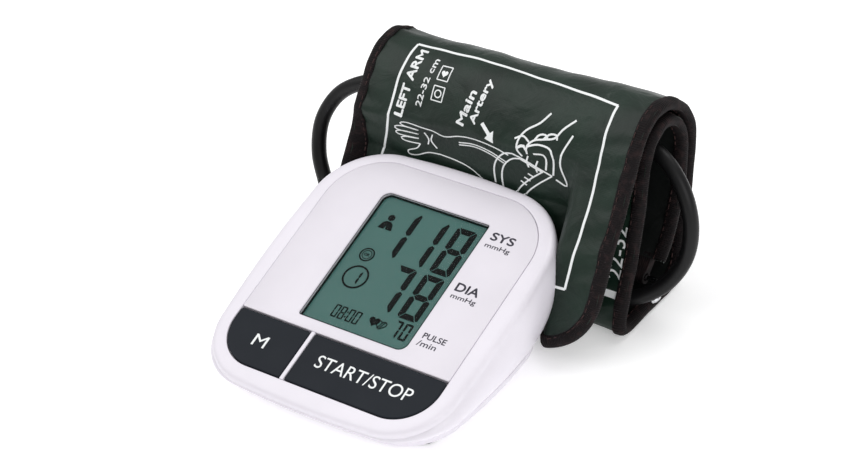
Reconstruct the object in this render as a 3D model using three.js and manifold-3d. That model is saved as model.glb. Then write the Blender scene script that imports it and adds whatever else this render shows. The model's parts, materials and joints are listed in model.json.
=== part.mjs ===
// Upper arm blood pressure monitor with its rolled cuff and air hose.
// Millimetres, +Z up. The keys face -Y, the cuff stands behind the monitor at +Y.

import * as THREE from 'three';
import { mergeVertices } from 'three/addons/utils/BufferGeometryUtils.js';
import Module from 'manifold-3d';

const wasm = await Module();
wasm.setup();

// ---------------------------------------------------------------- driving dimensions

const gap = 0.3;
const faceTilt = THREE.MathUtils.degToRad(18);
const faceHeight = 34;                       // display centre above the table
const footprintCentre = { x: 12.5, y: 17.3 };

const display = { width: 52, height: 66.6, bigCorner: 4, smallCorner: 1 };
const panel = { left: -51, right: 51.4, top: 48, bottom: -38.8, topRadius: 25, thickness: 1.6 };
const keys = {
  bottom: -63.1, cornerRadius: 18.5, divider: -14.5, dividerWidth: 1.8, thickness: 1.9, travel: 0.6,
};
const wellDepth = 3.2;
const recessDepth = 1.9;
const keyCentreY = -51;
const keyPostX = { memory: -33.2, start: 18 };

const rim = {
  left: -58.2, right: 58.6, front: -70.6, back: 53.4, frontRadius: 27, backRadius: 31, drop: 3.6,
};
const base = { left: -56.4, right: 56.8, front: -62.4, back: 28.5, frontRadius: 25, backRadius: 23 };
const wall = 2.2;
const wallBulge = 1.9;
const sideBulge = 1.2;
const splitHeight = 6;                       // parting line between the two housings
const underside = 1.3;                       // bottom housing above the table
const floorTop = 3.3;
const ceiling = -4.6;                        // inner face of the top wall, along the face normal

const bay = { left: -12, right: 38, front: -20.6, back: 24.2, wall: 1.3, roof: 14.3, top: 15.5 };
const cell = { radius: 5.1, length: 43.2, nub: 1, pitch: 11.1, height: 9, start: -9.1 };

const board = { left: -47, right: 47, front: -57, back: 36, top: -9, thickness: 1.6 };

const pump = { x: -29, z: 12.9, motorRadius: 9.2, motorFront: 6, motorBack: 25 };
const socket = { x: -57.2, y: 14, z: 10.8 };
const manifold = { x: -47, y: -22, z: 7.6 };

const cuff = { centre: 12.5, width: 140, bindingWidth: 1.7, cover: 0.9, core: 0.6, inner: 0.9 };
const tipCornerRadius = 28;

const hoseDiameter = 6.6;

const finish = {
  white: [0xe9e6ea, 0.42, 0], panelWhite: [0xe6e2e8, 0.4, 0], key: [0x2c3238, 0.5, 0],
  lens: [0x7fb0ae, 0.08, 0], glass: [0x4c8480, 0.2, 0], grey: [0x8d9095, 0.6, 0],
  rubber: [0x1d1d1f, 0.8, 0], board: [0x1f6b3a, 0.6, 0], chip: [0x17181a, 0.5, 0],
  steel: [0xb9bcc0, 0.3, 1], brass: [0xb99447, 0.35, 1], copper: [0xb4683c, 0.4, 1],
  silicone: [0xcfd4d4, 0.5, 0], cell: [0x3a4c66, 0.4, 0.2],
  cloth: [0x223029, 0.7, 0], lining: [0x141a18, 0.8, 0], binding: [0x2a1c1b, 0.8, 0],
  bladder: [0x30343a, 0.6, 0], hook: [0x17191a, 0.9, 0], hose: [0x1b1c1e, 0.5, 0],
};

// ---------------------------------------------------------------- scene graph

const assembly = new THREE.Group();
assembly.position.set(-footprintCentre.x, -footprintCentre.y, 0);

const face = new THREE.Group();
face.position.set(0, 0, faceHeight);
face.rotation.x = faceTilt;
assembly.add(face);

const group = new THREE.Group();
group.add(assembly);

function addPart(parent, name, geometry, look) {
  const [color, roughness, metalness] = finish[look];
  const mesh = new THREE.Mesh(geometry, new THREE.MeshStandardMaterial({ color, roughness, metalness }));
  mesh.name = name;
  parent.add(mesh);
  return mesh;
}

// ---------------------------------------------------------------- shape helpers

function box(xMin, xMax, yMin, yMax, zMin, zMax) {
  const shape = new THREE.BoxGeometry(xMax - xMin, yMax - yMin, zMax - zMin);
  shape.translate((xMin + xMax) / 2, (yMin + yMax) / 2, (zMin + zMax) / 2);
  return shape;
}

// A cylinder whose axis runs along x, y or z, from one coordinate to another.
function rod(axis, radius, from, to, centre, sides = 20) {
  const shape = new THREE.CylinderGeometry(radius, radius, to - from, sides);
  if (axis === 'x') shape.rotateZ(Math.PI / 2);
  if (axis === 'z') shape.rotateX(Math.PI / 2);
  const middle = (from + to) / 2;
  const [first, second] = centre;
  const place = { x: [middle, first, second], y: [first, middle, second], z: [first, second, middle] };
  shape.translate(...place[axis]);
  return shape;
}

function arcPoints(cx, cy, radius, startAngle, count) {
  const points = [];
  for (let i = 0; i <= count; i += 1) {
    const angle = startAngle + (i / count) * (Math.PI / 2);
    points.push([cx + radius * Math.cos(angle), cy + radius * Math.sin(angle)]);
  }
  return points;
}

// Rounded rectangle, anticlockwise, with a radius for each corner.
function roundedOutline(left, right, bottom, top, radii, arcSteps = 6) {
  const [bottomRight, topRight, topLeft, bottomLeft] = radii;
  return [
    ...arcPoints(right - bottomRight, bottom + bottomRight, bottomRight, -Math.PI / 2, arcSteps),
    ...arcPoints(right - topRight, top - topRight, topRight, 0, arcSteps),
    ...arcPoints(left + topLeft, top - topLeft, topLeft, Math.PI / 2, arcSteps),
    ...arcPoints(left + bottomLeft, bottom + bottomLeft, bottomLeft, Math.PI, arcSteps),
  ];
}

function plate(outline, zMin, zMax) {
  const shape = new THREE.Shape(outline.map(([x, y]) => new THREE.Vector2(x, y)));
  const settings = { depth: zMax - zMin, bevelEnabled: false, curveSegments: 6 };
  const solid = new THREE.ExtrudeGeometry(shape, settings);
  solid.translate(0, 0, zMin);
  return solid;
}

// A closed skin over rings of equal length, with flat ends.
function loft(rings) {
  const count = rings[0].length;
  const positions = rings.flat().flat();
  const index = [];
  for (let r = 0; r < rings.length - 1; r += 1) {
    for (let i = 0; i < count; i += 1) {
      const a = r * count + i;
      const b = r * count + ((i + 1) % count);
      index.push(a, b, b + count, a, b + count, a + count);
    }
  }
  const last = (rings.length - 1) * count;
  for (let i = 1; i < count - 1; i += 1) {
    index.push(0, i + 1, i);
    index.push(last, last + i, last + i + 1);
  }
  const geometry = new THREE.BufferGeometry();
  geometry.setAttribute('position', new THREE.Float32BufferAttribute(positions, 3));
  geometry.setIndex(index);
  return geometry;
}

function toSolid(geometry) {
  const bare = geometry.clone();
  bare.deleteAttribute('normal');
  bare.deleteAttribute('uv');
  const merged = mergeVertices(bare, 1e-4);
  return new wasm.Manifold(new wasm.Mesh({
    numProp: 3,
    vertProperties: new Float32Array(merged.attributes.position.array),
    triVerts: new Uint32Array(merged.index.array),
  }));
}

function fromSolid(solid) {
  const mesh = solid.getMesh();
  const geometry = new THREE.BufferGeometry();
  geometry.setAttribute('position', new THREE.BufferAttribute(mesh.vertProperties, 3));
  geometry.setIndex(new THREE.BufferAttribute(mesh.triVerts, 1));
  return geometry;
}

function join(...pieces) {
  return fromSolid(pieces.map(toSolid).reduce((sum, piece) => sum.add(piece)));
}

function cut(body, ...tools) {
  return fromSolid(tools.map(toSolid).reduce((rest, tool) => rest.subtract(tool), toSolid(body)));
}

// Carries a point or a geometry from the tilted face frame into the upright frame.
const faceMatrix = new THREE.Matrix4().makeRotationX(faceTilt).setPosition(0, 0, faceHeight);

function fromFace(x, y, z) {
  return new THREE.Vector3(x, y, z).applyMatrix4(faceMatrix);
}

// ---------------------------------------------------------------- housing outlines

const arcSteps = 8;
const sideSteps = 4;

// Rounded outline whose long sides bow outwards a little. Every ring has the same number of points.
function bodyRing(size, inset, bow, lift) {
  const left = size.left + inset;
  const right = size.right - inset;
  const front = size.front + inset;
  const back = size.back - inset;
  const frontRadius = size.frontRadius - inset;
  const backRadius = size.backRadius - inset;
  const radii = [frontRadius, backRadius, backRadius, frontRadius];
  const corners = roundedOutline(left, right, front, back, radii, arcSteps);
  const ring = [];
  for (let side = 0; side < 4; side += 1) {
    const arc = corners.slice(side * (arcSteps + 1), (side + 1) * (arcSteps + 1));
    ring.push(...arc);
    const from = arc[arcSteps];
    const to = corners[((side + 1) * (arcSteps + 1)) % corners.length];
    for (let i = 1; i < sideSteps; i += 1) {
      const t = i / sideSteps;
      const push = bow * 4 * t * (1 - t);
      const dx = to[0] - from[0];
      const dy = to[1] - from[1];
      const length = Math.hypot(dx, dy);
      ring.push([from[0] + dx * t + (dy / length) * push, from[1] + dy * t - (dx / length) * push]);
    }
  }
  return ring.map(lift);
}

const onFace = (depth) => ([x, y]) => fromFace(x, y, depth).toArray();
const atHeight = (height) => ([x, y]) => [x, y, height];

const plateRim = {
  left: panel.left, right: panel.right, front: keys.bottom - 0.2, back: panel.top,
  frontRadius: keys.cornerRadius, backRadius: panel.topRadius,
};

// Ring at a fraction of the way up the side wall, bowed out by wallBulge.
function wallRing(fraction, inset) {
  const low = bodyRing(base, inset, sideBulge, atHeight(splitHeight + gap));
  const high = bodyRing(rim, inset, sideBulge, onFace(-rim.drop));
  const centre = { x: (base.left + base.right) / 2, y: (base.front + base.back) / 2 };
  const push = wallBulge * 4 * fraction * (1 - fraction);
  return low.map((point, i) => {
    const away = new THREE.Vector2(point[0] - centre.x, point[1] - centre.y);
    away.normalize().multiplyScalar(push);
    return [
      THREE.MathUtils.lerp(point[0], high[i][0], fraction) + away.x,
      THREE.MathUtils.lerp(point[1], high[i][1], fraction) + away.y,
      THREE.MathUtils.lerp(point[2], high[i][2], fraction),
    ];
  });
}

// ---------------------------------------------------------------- top housing

const panelOutline = (inset) => roundedOutline(
  panel.left + inset, panel.right - inset, panel.bottom + inset, panel.top - inset,
  [0.6, panel.topRadius - inset, panel.topRadius - inset, 0.6],
);

const dividerLeft = keys.divider - keys.dividerWidth / 2;
const dividerRight = keys.divider + keys.dividerWidth / 2;
const keyTop = panel.bottom - gap;

const memoryOutline = (inset) => roundedOutline(
  panel.left + inset, dividerLeft - inset, keys.bottom + inset, keyTop - inset,
  [0.8, 0.8, 1.4, keys.cornerRadius - inset],
);
const startOutline = (inset) => roundedOutline(
  dividerRight + inset, panel.right - inset, keys.bottom + inset, keyTop - inset,
  [keys.cornerRadius - inset, 1.4, 0.8, 0.8],
);
const windowOutline = (margin) => {
  const x = display.width / 2 + margin;
  const y = display.height / 2 + margin;
  const { bigCorner, smallCorner } = display;
  return roundedOutline(-x, x, -y, y, [bigCorner, smallCorner, bigCorner, smallCorner]);
};

const housingScrews = [[-46, -38], [46, -38], [-44.4, 1.6], [47, 8]];
const screwBossRadius = 2.6;

function topHousing() {
  const outer = loft([
    wallRing(0, 0),
    wallRing(0.35, 0),
    wallRing(0.7, 0),
    wallRing(1, 0),
    bodyRing(rim, 1.3, sideBulge, onFace(-2)),
    bodyRing(rim, 3.6, sideBulge, onFace(-0.7)),
    bodyRing(plateRim, -0.8, 0, onFace(-0.1)),
  ]);
  const hollow = loft([
    bodyRing(base, wall, sideBulge, atHeight(splitHeight - 1)),
    wallRing(0.35, wall),
    wallRing(0.7, wall),
    bodyRing(rim, wall + 0.4, sideBulge, onFace(-rim.drop - 2)),
    bodyRing(rim, wall + 3, sideBulge, onFace(ceiling)),
  ]);
  const faceTools = [
    plate(panelOutline(0), -recessDepth, 4),
    plate(memoryOutline(0), -wellDepth, 4),
    plate(startOutline(0), -wellDepth, 4),
    plate(windowOutline(1), -12, 4),
    rod('z', 3.5, -12, 4, [keyPostX.memory, keyCentreY]),
    rod('z', 3.5, -12, 4, [keyPostX.start, keyCentreY]),
  ].map((tool) => tool.applyMatrix4(faceMatrix));
  const socketBore = rod('x', 4.9, socket.x - 6, socket.x + 6, [socket.y, socket.z]);
  let body = toSolid(outer).subtract(toSolid(hollow));
  for (const tool of [...faceTools, socketBore]) body = body.subtract(toSolid(tool));
  // Screw posts hang from the top wall and stop above the bottom housing's bosses.
  for (const [x, y] of housingScrews) {
    const top = faceHeight + Math.tan(faceTilt) * y - 4;
    const post = rod('z', screwBossRadius, 11.6, top, [x, y], 16);
    const pilot = rod('z', 1.25, 10, 17, [x, y], 12);
    body = body.add(toSolid(post)).subtract(toSolid(pilot));
  }
  return fromSolid(body);
}

addPart(assembly, 'top_housing', topHousing(), 'white');

// ---------------------------------------------------------------- face panel, display and keys

addPart(face, 'face_panel', cut(
  plate(panelOutline(gap), -panel.thickness, 0),
  plate(windowOutline(0), -3, 1),
), 'panelWhite');

addPart(face, 'display_window', plate(windowOutline(-gap), -1.5, -0.3), 'lens');
addPart(face, 'lcd_glass', plate(windowOutline(0.7), -4.4, -2), 'glass');

const holder = { x: 30, front: -37, back: 35 };
addPart(face, 'lcd_holder', cut(
  box(-holder.x, holder.x, holder.front, holder.back, -7, -4.9),
  box(-24, 24, -34, 31, -8, -4),
), 'grey');
addPart(face, 'zebra_strip', box(-23, 23, -33.4, -31.2, -8.7, -4.7), 'rubber');

function keyCap(outline, postX) {
  return join(
    plate(outline, -keys.thickness, 0),
    rod('z', 3, -4, -keys.thickness + 0.2, [postX, keyCentreY], 16),
  );
}
addPart(face, 'memory_key', keyCap(memoryOutline(gap), keyPostX.memory), 'key');
addPart(face, 'start_key', keyCap(startOutline(gap), keyPostX.start), 'key');

for (const [key, x] of Object.entries(keyPostX)) {
  const body = cut(
    box(x - 3, x + 3, keyCentreY - 3, keyCentreY + 3, board.top + gap, -5.5),
    rod('z', 2, -7.6, -5, [x, keyCentreY], 16),
  );
  addPart(face, `${key}_switch`, body, 'chip');
  addPart(face, `${key}_switch_button`, rod('z', 1.7, -6.6, -4.3, [x, keyCentreY], 16), 'steel');
}

// ---------------------------------------------------------------- main board and what sits on it

const boardBottom = board.top - board.thickness;
function mainBoard() {
  const blank = plate(
    roundedOutline(board.left, board.right, board.front, board.back, [9, 16, 16, 9], 4),
    boardBottom, board.top,
  );
  const toFace = faceMatrix.clone().invert();
  const postHoles = housingScrews.map(
    ([x, y]) => rod('z', screwBossRadius + 0.8, 0, 80, [x, y], 12).applyMatrix4(toFace),
  );
  return cut(blank, ...postHoles);
}
addPart(face, 'main_board', mainBoard(), 'board');
addPart(face, 'processor', box(-20, -8, -42, -30, boardBottom - gap - 1.5, boardBottom - gap), 'chip');
addPart(face, 'buzzer', rod('z', 6, boardBottom - gap - 4.4, boardBottom - gap, [14, -38], 20), 'chip');
const sensor = { x: -46, y: -26, low: boardBottom - gap - 2.6 };
addPart(face, 'pressure_sensor', join(
  box(sensor.x - 5, sensor.x + 4, sensor.y - 5, sensor.y + 5, sensor.low, boardBottom - gap),
  rod('z', 1.3, sensor.low - 2, sensor.low + 0.2, [sensor.x, sensor.y], 12),
), 'grey');


// ---------------------------------------------------------------- bottom housing

const cellY = (i) => bay.front + 5.8 + cell.pitch * i;
const bossTop = 11.2;
const headSeat = 2.4;
const footPlaces = [[-46, -48], [46, -48], [-42, 16], [45, 16.4]];
const foot = { radius: 4, seat: 0.9 };

function bottomHousing() {
  const shell = loft([
    bodyRing(base, 3.2, sideBulge, atHeight(underside)),
    bodyRing(base, 1.1, sideBulge, atHeight(underside + 0.8)),
    bodyRing(base, 0.2, sideBulge, atHeight(underside + 2.4)),
    bodyRing(base, 0, sideBulge, atHeight(splitHeight)),
  ]);
  const hollow = loft([
    bodyRing(base, wall + 0.6, sideBulge, atHeight(floorTop)),
    bodyRing(base, wall, sideBulge, atHeight(splitHeight + 2)),
  ]);
  const bayBlock = box(
    bay.left - bay.wall, bay.right + bay.wall, bay.front - bay.wall, bay.back + bay.wall, 2, bay.top,
  );
  const bayHollow = box(bay.left, bay.right, bay.front, bay.back, 0, bay.roof);
  let body = toSolid(shell).subtract(toSolid(hollow)).add(toSolid(bayBlock));
  for (const [x, y] of housingScrews) {
    body = body.add(toSolid(rod('z', screwBossRadius, 2, bossTop, [x, y], 16)));
    body = body.subtract(toSolid(rod('z', 1.7, 0, 20, [x, y], 12)));
    body = body.subtract(toSolid(rod('z', 2.9, 0, headSeat, [x, y], 16)));
  }
  for (const [x, y] of footPlaces) {
    body = body.subtract(toSolid(rod('z', foot.radius + gap, 0, underside + foot.seat, [x, y], 20)));
  }
  body = body.subtract(toSolid(bayHollow));
  return fromSolid(body);
}
addPart(assembly, 'bottom_housing', bottomHousing(), 'white');

footPlaces.forEach(([x, y], i) => {
  const height = underside + foot.seat - gap;
  addPart(assembly, `rubber_foot_${i + 1}`, rod('z', foot.radius, 0, height, [x, y], 20), 'rubber');
});

housingScrews.forEach(([x, y], i) => {
  const screw = join(
    rod('z', 2.5, underside + 0.1, headSeat - gap, [x, y], 16),
    rod('z', 0.95, headSeat - gap - 0.2, 15.5, [x, y], 10),
  );
  addPart(assembly, `housing_screw_${i + 1}`, screw, 'steel');
});

// ---------------------------------------------------------------- battery cover, cells and contacts

const coverGap = 0.35;
addPart(assembly, 'battery_cover', join(
  box(bay.left + coverGap, bay.right - coverGap, bay.front + coverGap, bay.back - coverGap, underside, 3.1),
  box(8, 18, bay.front + coverGap, bay.front + 2, 3, 3.7),
), 'white');

const cellEnd = cell.start + cell.length + cell.nub;
for (let i = 0; i < 4; i += 1) {
  const nubRight = i % 2 === 0;
  const from = nubRight ? cell.start : cell.start + cell.nub;
  const centre = [cellY(i), cell.height];
  const nub = nubRight
    ? rod('x', 1.9, from + cell.length - 0.2, cellEnd, centre, 14)
    : rod('x', 1.9, cell.start, from + 0.2, centre, 14);
  addPart(assembly, `battery_cell_${i + 1}`, join(
    rod('x', cell.radius, from, from + cell.length, centre, 20),
    nub,
  ), 'cell');
}

// Contact plates join the cells in series. A coil spring presses on each flat (negative) end.
function contactPlate(side, cells) {
  const sign = side === 'left' ? 1 : -1;
  const from = side === 'left' ? bay.left + gap : bay.right - gap;
  const cellFace = side === 'left' ? cell.start - gap : cellEnd + gap;
  const reach = Math.abs(cellFace - from);
  const span = [from, from + sign * 0.6].sort((a, b) => a - b);
  const back = cellY(cells[cells.length - 1]) + 4;
  let body = toSolid(box(span[0], span[1], cellY(cells[0]) - 4, back, 5.2, 13.2));
  for (const i of cells) {
    const springHere = (i % 2 === 0) === (side === 'left');
    const radius = springHere ? 3 : 1.5;
    const tip = new THREE.CylinderGeometry(radius * 0.5, radius, reach - 0.4, 12);
    tip.rotateZ(-sign * Math.PI / 2);
    tip.translate(from + sign * (0.4 + (reach - 0.4) / 2), cellY(i), cell.height);
    body = body.add(toSolid(tip));
  }
  return fromSolid(body);
}
const contactRuns = [['left', [0]], ['left', [1, 2]], ['left', [3]], ['right', [0, 1]], ['right', [2, 3]]];
contactRuns.forEach(([side, cells], i) => {
  addPart(assembly, `battery_contact_${i + 1}`, contactPlate(side, cells), 'steel');
});

// ---------------------------------------------------------------- pump, valve and air lines

const motorCentre = [pump.x, pump.z];
addPart(assembly, 'pump_motor', cut(
  rod('y', pump.motorRadius, pump.motorFront, pump.motorBack, motorCentre, 28),
  rod('y', 1.6, pump.motorFront - 2, pump.motorFront + 5, motorCentre, 14),
), 'steel');

const head = { halfWidth: 10.4, front: -9, back: pump.motorFront - gap, low: 4.2, high: 19.4 };
const headNipple = { y: -5, z: 8.6 };
const headSide = pump.x - head.halfWidth;
addPart(assembly, 'pump_head', cut(
  join(
    box(pump.x - head.halfWidth, pump.x + head.halfWidth, head.front, head.back, head.low, head.high),
    rod('x', 1.4, headSide - 3, headSide + 1, [headNipple.y, headNipple.z], 12),
  ),
  rod('y', 6, head.back - 8, head.back + 2, motorCentre, 24),
), 'key');

addPart(assembly, 'pump_cam', join(
  rod('y', 1.2, head.back - 7, pump.motorFront + 4, motorCentre, 14),
  rod('y', 3.6, head.back - 6.6, head.back - 2.4, [pump.x, pump.z + 1.2], 20),
), 'brass');

const valve = { left: -35, right: -23, front: -28, back: -16, low: 4.2, high: 13, bore: 2 };
const valveAxis = [manifold.y, valve.low + 5];
addPart(assembly, 'exhaust_valve', cut(
  join(
    box(valve.left, valve.right, valve.front, valve.back, valve.low, valve.high),
    rod('x', 1.4, valve.left - 2.6, valve.left + 1, [manifold.y, manifold.z], 12),
  ),
  rod('x', valve.bore, valve.right - 7, valve.right + 2, valveAxis, 16),
), 'copper');
addPart(assembly, 'valve_plunger', join(
  rod('x', 1.6, valve.right - 5, valve.right + 2.6, valveAxis, 14),
  rod('x', 2.6, valve.right + 2.4, valve.right + 3.6, valveAxis, 14),
), 'steel');

// The manifold joins the pump, the valve and the socket by short tubes; the sensor stands on top of it.
const nippleRadius = 1.4;
const tubeRadius = 2.3;
const toSocket = { x: -50.2, z: manifold.z };
const toPump = { x: -44.9, z: manifold.z };
const manifoldSize = { left: -52.6, right: -41.4, front: -28, back: -16, low: 4.4, high: 10.6 };
addPart(assembly, 'air_manifold', join(
  box(
    manifoldSize.left, manifoldSize.right, manifoldSize.front, manifoldSize.back,
    manifoldSize.low, manifoldSize.high,
  ),
  rod('x', nippleRadius, manifoldSize.right - 1, manifoldSize.right + 2.4, [manifold.y, manifold.z], 12),
  rod('y', nippleRadius, manifoldSize.back - 1, manifoldSize.back + 3, [toSocket.x, toSocket.z], 12),
  rod('y', nippleRadius, manifoldSize.back - 1, manifoldSize.back + 3, [toPump.x, toPump.z], 12),
), 'grey');

function curveThrough(points) {
  const places = points.map((point) => new THREE.Vector3(...point));
  return new THREE.CatmullRomCurve3(places, false, 'centripetal');
}

// A tube of round section along a smooth curve through the given points.
function tubeAlong(points, radius, sides, steps) {
  const circle = new THREE.Shape();
  for (let i = 0; i < sides; i += 1) {
    const angle = (i / sides) * 2 * Math.PI;
    const point = [radius * Math.cos(angle), radius * Math.sin(angle)];
    if (i === 0) circle.moveTo(...point);
    else circle.lineTo(...point);
  }
  const path = curveThrough(points);
  return new THREE.ExtrudeGeometry(circle, { steps, extrudePath: path, bevelEnabled: false });
}

// Socket through the left wall: the plug's nozzle goes in from outside, a nipple points forwards inside.
const socketInner = { left: -52, right: -46.4, front: 4.8, back: 3.6, below: 3.2, above: 4 };
const socketBore = 2.7;
addPart(assembly, 'air_socket', cut(
  join(
    rod('x', 4.2, socket.x - 1.4, socketInner.left + 1, [socket.y, socket.z], 20),
    box(
      socketInner.left, socketInner.right, socket.y - socketInner.front, socket.y + socketInner.back,
      socket.z - socketInner.below, socket.z + socketInner.above,
    ),
    rod('y', nippleRadius, socket.y - 8.4, socket.y - 4, [toSocket.x, socket.z], 12),
  ),
  rod('x', socketBore, socket.x - 4, socket.x + 8, [socket.y, socket.z], 16),
), 'grey');

addPart(assembly, 'socket_tube', tubeAlong([
  [toSocket.x, socket.y - 8.7, socket.z],
  [toSocket.x, socket.y - 14, socket.z],
  [toSocket.x, -2, (socket.z + manifold.z) / 2],
  [toSocket.x, manifoldSize.back + 8, manifold.z],
  [toSocket.x, manifoldSize.back + 3.3, manifold.z],
], tubeRadius, 8, 8), 'silicone');
addPart(assembly, 'pump_tube', tubeAlong([
  [headSide - 3.3, headNipple.y, headNipple.z],
  [headSide - 4.2, headNipple.y, headNipple.z],
  [toPump.x - 0.6, headNipple.y - 1.6, headNipple.z - 0.2],
  [toPump.x, manifoldSize.back + 4.2, toPump.z],
  [toPump.x, manifoldSize.back + 3.3, toPump.z],
], 1.9, 8, 8), 'silicone');
addPart(assembly, 'valve_tube', rod(
  'x', tubeRadius, manifoldSize.right + 2.7, valve.left - 2.9, [manifold.y, manifold.z], 10,
), 'silicone');

// ---------------------------------------------------------------- rolled cuff

// Middle line of the rolled band at the right end of the roll, as [y, z], from the free end of the
// outer flap, over the top, down the back, along the table, up inside and down to the metal ring.
const rollRight = [
  [15.5, 5.4], [20.5, 17], [27, 31], [36.5, 46.5], [46, 58.5], [54, 70.5], [61, 81], [69, 87.4], [78, 88.9],
  [87, 86.3], [94.5, 80.3], [99.3, 72], [100.3, 63], [98, 52], [95, 40], [91.5, 26], [87.8, 12.5],
  [84, 5.4], [78.5, 2.7], [70, 2.6], [55, 2.6], [46, 2.6], [41.6, 4.4], [41.6, 8.6], [45.2, 16.5],
  [51.4, 29], [56.8, 42], [61.8, 57], [65.6, 69], [70.4, 77.2], [78.5, 81], [86, 79.2], [91, 74.8],
  [93.6, 67.5], [93.2, 58], [90.5, 46], [86, 35.5], [80, 26], [72.5, 18.2],
];
// At the left end the roll is a little lower and its front leans further back.
const rollLeft = rollRight.map((point, i) => {
  const outerShift = [
    [3, 0], [3.5, 0], [4, 0], [4.5, -0.5], [5, -1], [5.5, -2], [6, -3.2], [5.4, -4.4], [4, -4.5],
    [2, -4], [0.6, -3], [-0.5, -2],
  ];
  const innerShift = {
    27: [1, -0.6], 28: [2, -2], 29: [1.6, -3], 30: [0.6, -3.6], 31: [0, -3], 32: [-0.4, -2],
  };
  const [dy, dz] = outerShift[i] ?? innerShift[i] ?? [0, 0];
  return [point[0] + dy, point[1] + dz];
});

const asCurve = (points) => new THREE.CatmullRomCurve3(
  points.map(([y, z]) => new THREE.Vector3(0, y, z)), false, 'centripetal',
);
const rightCurve = asCurve(rollRight);
const leftCurve = asCurve(rollLeft);
rightCurve.arcLengthDivisions = 800;
leftCurve.arcLengthDivisions = 800;
const bandLength = rightCurve.getLength();

// The flap hangs free beside the monitor but lies against its sloping back between its corners.
const flapReach = 92;
const backRest = { low: 33.5, rise: 22, height: 47 };
const innerTurn = { from: 236, to: 330, push: 4 };
const freeFrom = 64;
const restFrom = 46;

function bandPoint(distance, x) {
  const along = THREE.MathUtils.clamp(distance / bandLength, 0, 1);
  const right = rightCurve.getPointAt(along);
  const left = leftCurve.getPointAt(along);
  const share = THREE.MathUtils.clamp((x - cuff.centre) / cuff.width + 0.5, 0, 1);
  const point = left.lerp(right, share);
  point.x = x;
  if (distance < flapReach) {
    const rest = 1 - THREE.MathUtils.smoothstep(Math.abs(x), restFrom, freeFrom);
    const behind = backRest.low + backRest.rise * Math.min(point.z / backRest.height, 1);
    point.y += rest * Math.max(0, behind - point.y);
  }
  // The inner turn gives way to the flap there.
  const { smoothstep } = THREE.MathUtils;
  const beside = smoothstep(distance, innerTurn.from, innerTurn.from + 25)
    * (1 - smoothstep(distance, innerTurn.to - 30, innerTurn.to));
  const rest = 1 - smoothstep(Math.abs(x), restFrom, freeFrom);
  point.y += innerTurn.push * beside * rest;
  return point;
}

function bandNormal(distance, x) {
  const step = 0.5;
  const along = bandPoint(Math.min(distance + step, bandLength), x)
    .sub(bandPoint(Math.max(distance - step, 0), x));
  const across = bandPoint(distance, x + step).sub(bandPoint(distance, x - step));
  return across.cross(along).normalize();
}

// Half the width of the band: full width, but for the rounded corners at the flap's free end.
function halfWidth(distance) {
  const straight = cuff.width / 2 - cuff.bindingWidth;
  if (distance >= tipCornerRadius) return straight;
  const rest = tipCornerRadius - distance;
  return straight - tipCornerRadius + Math.sqrt(tipCornerRadius ** 2 - rest ** 2);
}

// Closed solid between two offsets from the band's middle surface.
function bandSolid(distances, columns, low, high, halfSpan) {
  const positions = [];
  for (const offset of [high, low]) {
    for (const distance of distances) {
      for (const column of columns) {
        const x = cuff.centre + column * halfSpan(distance);
        const point = bandPoint(distance, x).addScaledVector(bandNormal(distance, x), offset);
        positions.push(point.x, point.y, point.z);
      }
    }
  }
  const rows = distances.length;
  const width = columns.length;
  const layer = rows * width;
  const index = [];
  const quad = (a, b, c, d) => index.push(a, b, c, a, c, d);
  for (let i = 0; i < rows - 1; i += 1) {
    for (let j = 0; j < width - 1; j += 1) {
      const a = i * width + j;
      quad(a, a + 1, a + width + 1, a + width);
      quad(layer + a, layer + a + width, layer + a + width + 1, layer + a + 1);
    }
  }
  const border = [];
  for (let j = 0; j < width - 1; j += 1) border.push(j);
  for (let i = 0; i < rows - 1; i += 1) border.push(i * width + width - 1);
  for (let j = width - 1; j > 0; j -= 1) border.push((rows - 1) * width + j);
  for (let i = rows - 1; i > 0; i -= 1) border.push(i * width);
  border.forEach((a, k) => {
    const b = border[(k + 1) % border.length];
    quad(a, layer + a, layer + b, b);
  });
  const geometry = new THREE.BufferGeometry();
  geometry.setAttribute('position', new THREE.Float32BufferAttribute(positions, 3));
  geometry.setIndex(index);
  return geometry;
}

function steps(from, to, count) {
  return Array.from({ length: count + 1 }, (_, i) => from + ((to - from) * i) / count);
}

const tipSteps = [0.5, 2.5, 6, 11, 19];
const bandSteps = [...tipSteps, ...steps(tipCornerRadius, bandLength, 44)];
const columns = [-1, -0.86, -0.72, -0.5, 0, 0.34, 0.5, 0.62, 0.74, 0.87, 1];
const outside = cuff.core + gap;
const coverSkin = bandSolid(bandSteps, columns, outside, outside + cuff.cover, halfWidth);
addPart(assembly, 'cuff_cover', coverSkin, 'cloth');
const innerSkin = bandSolid(bandSteps, columns, -outside - cuff.inner, -outside, halfWidth);
addPart(assembly, 'cuff_lining', innerSkin, 'lining');

const bladder = { from: 190, to: 390 };
addPart(assembly, 'cuff_bladder', bandSolid(
  bandSteps.filter((distance) => distance > bladder.from && distance < bladder.to),
  columns.slice(1, -1), -cuff.core, cuff.core, () => cuff.width / 2 - cuff.bindingWidth,
), 'bladder');

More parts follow.
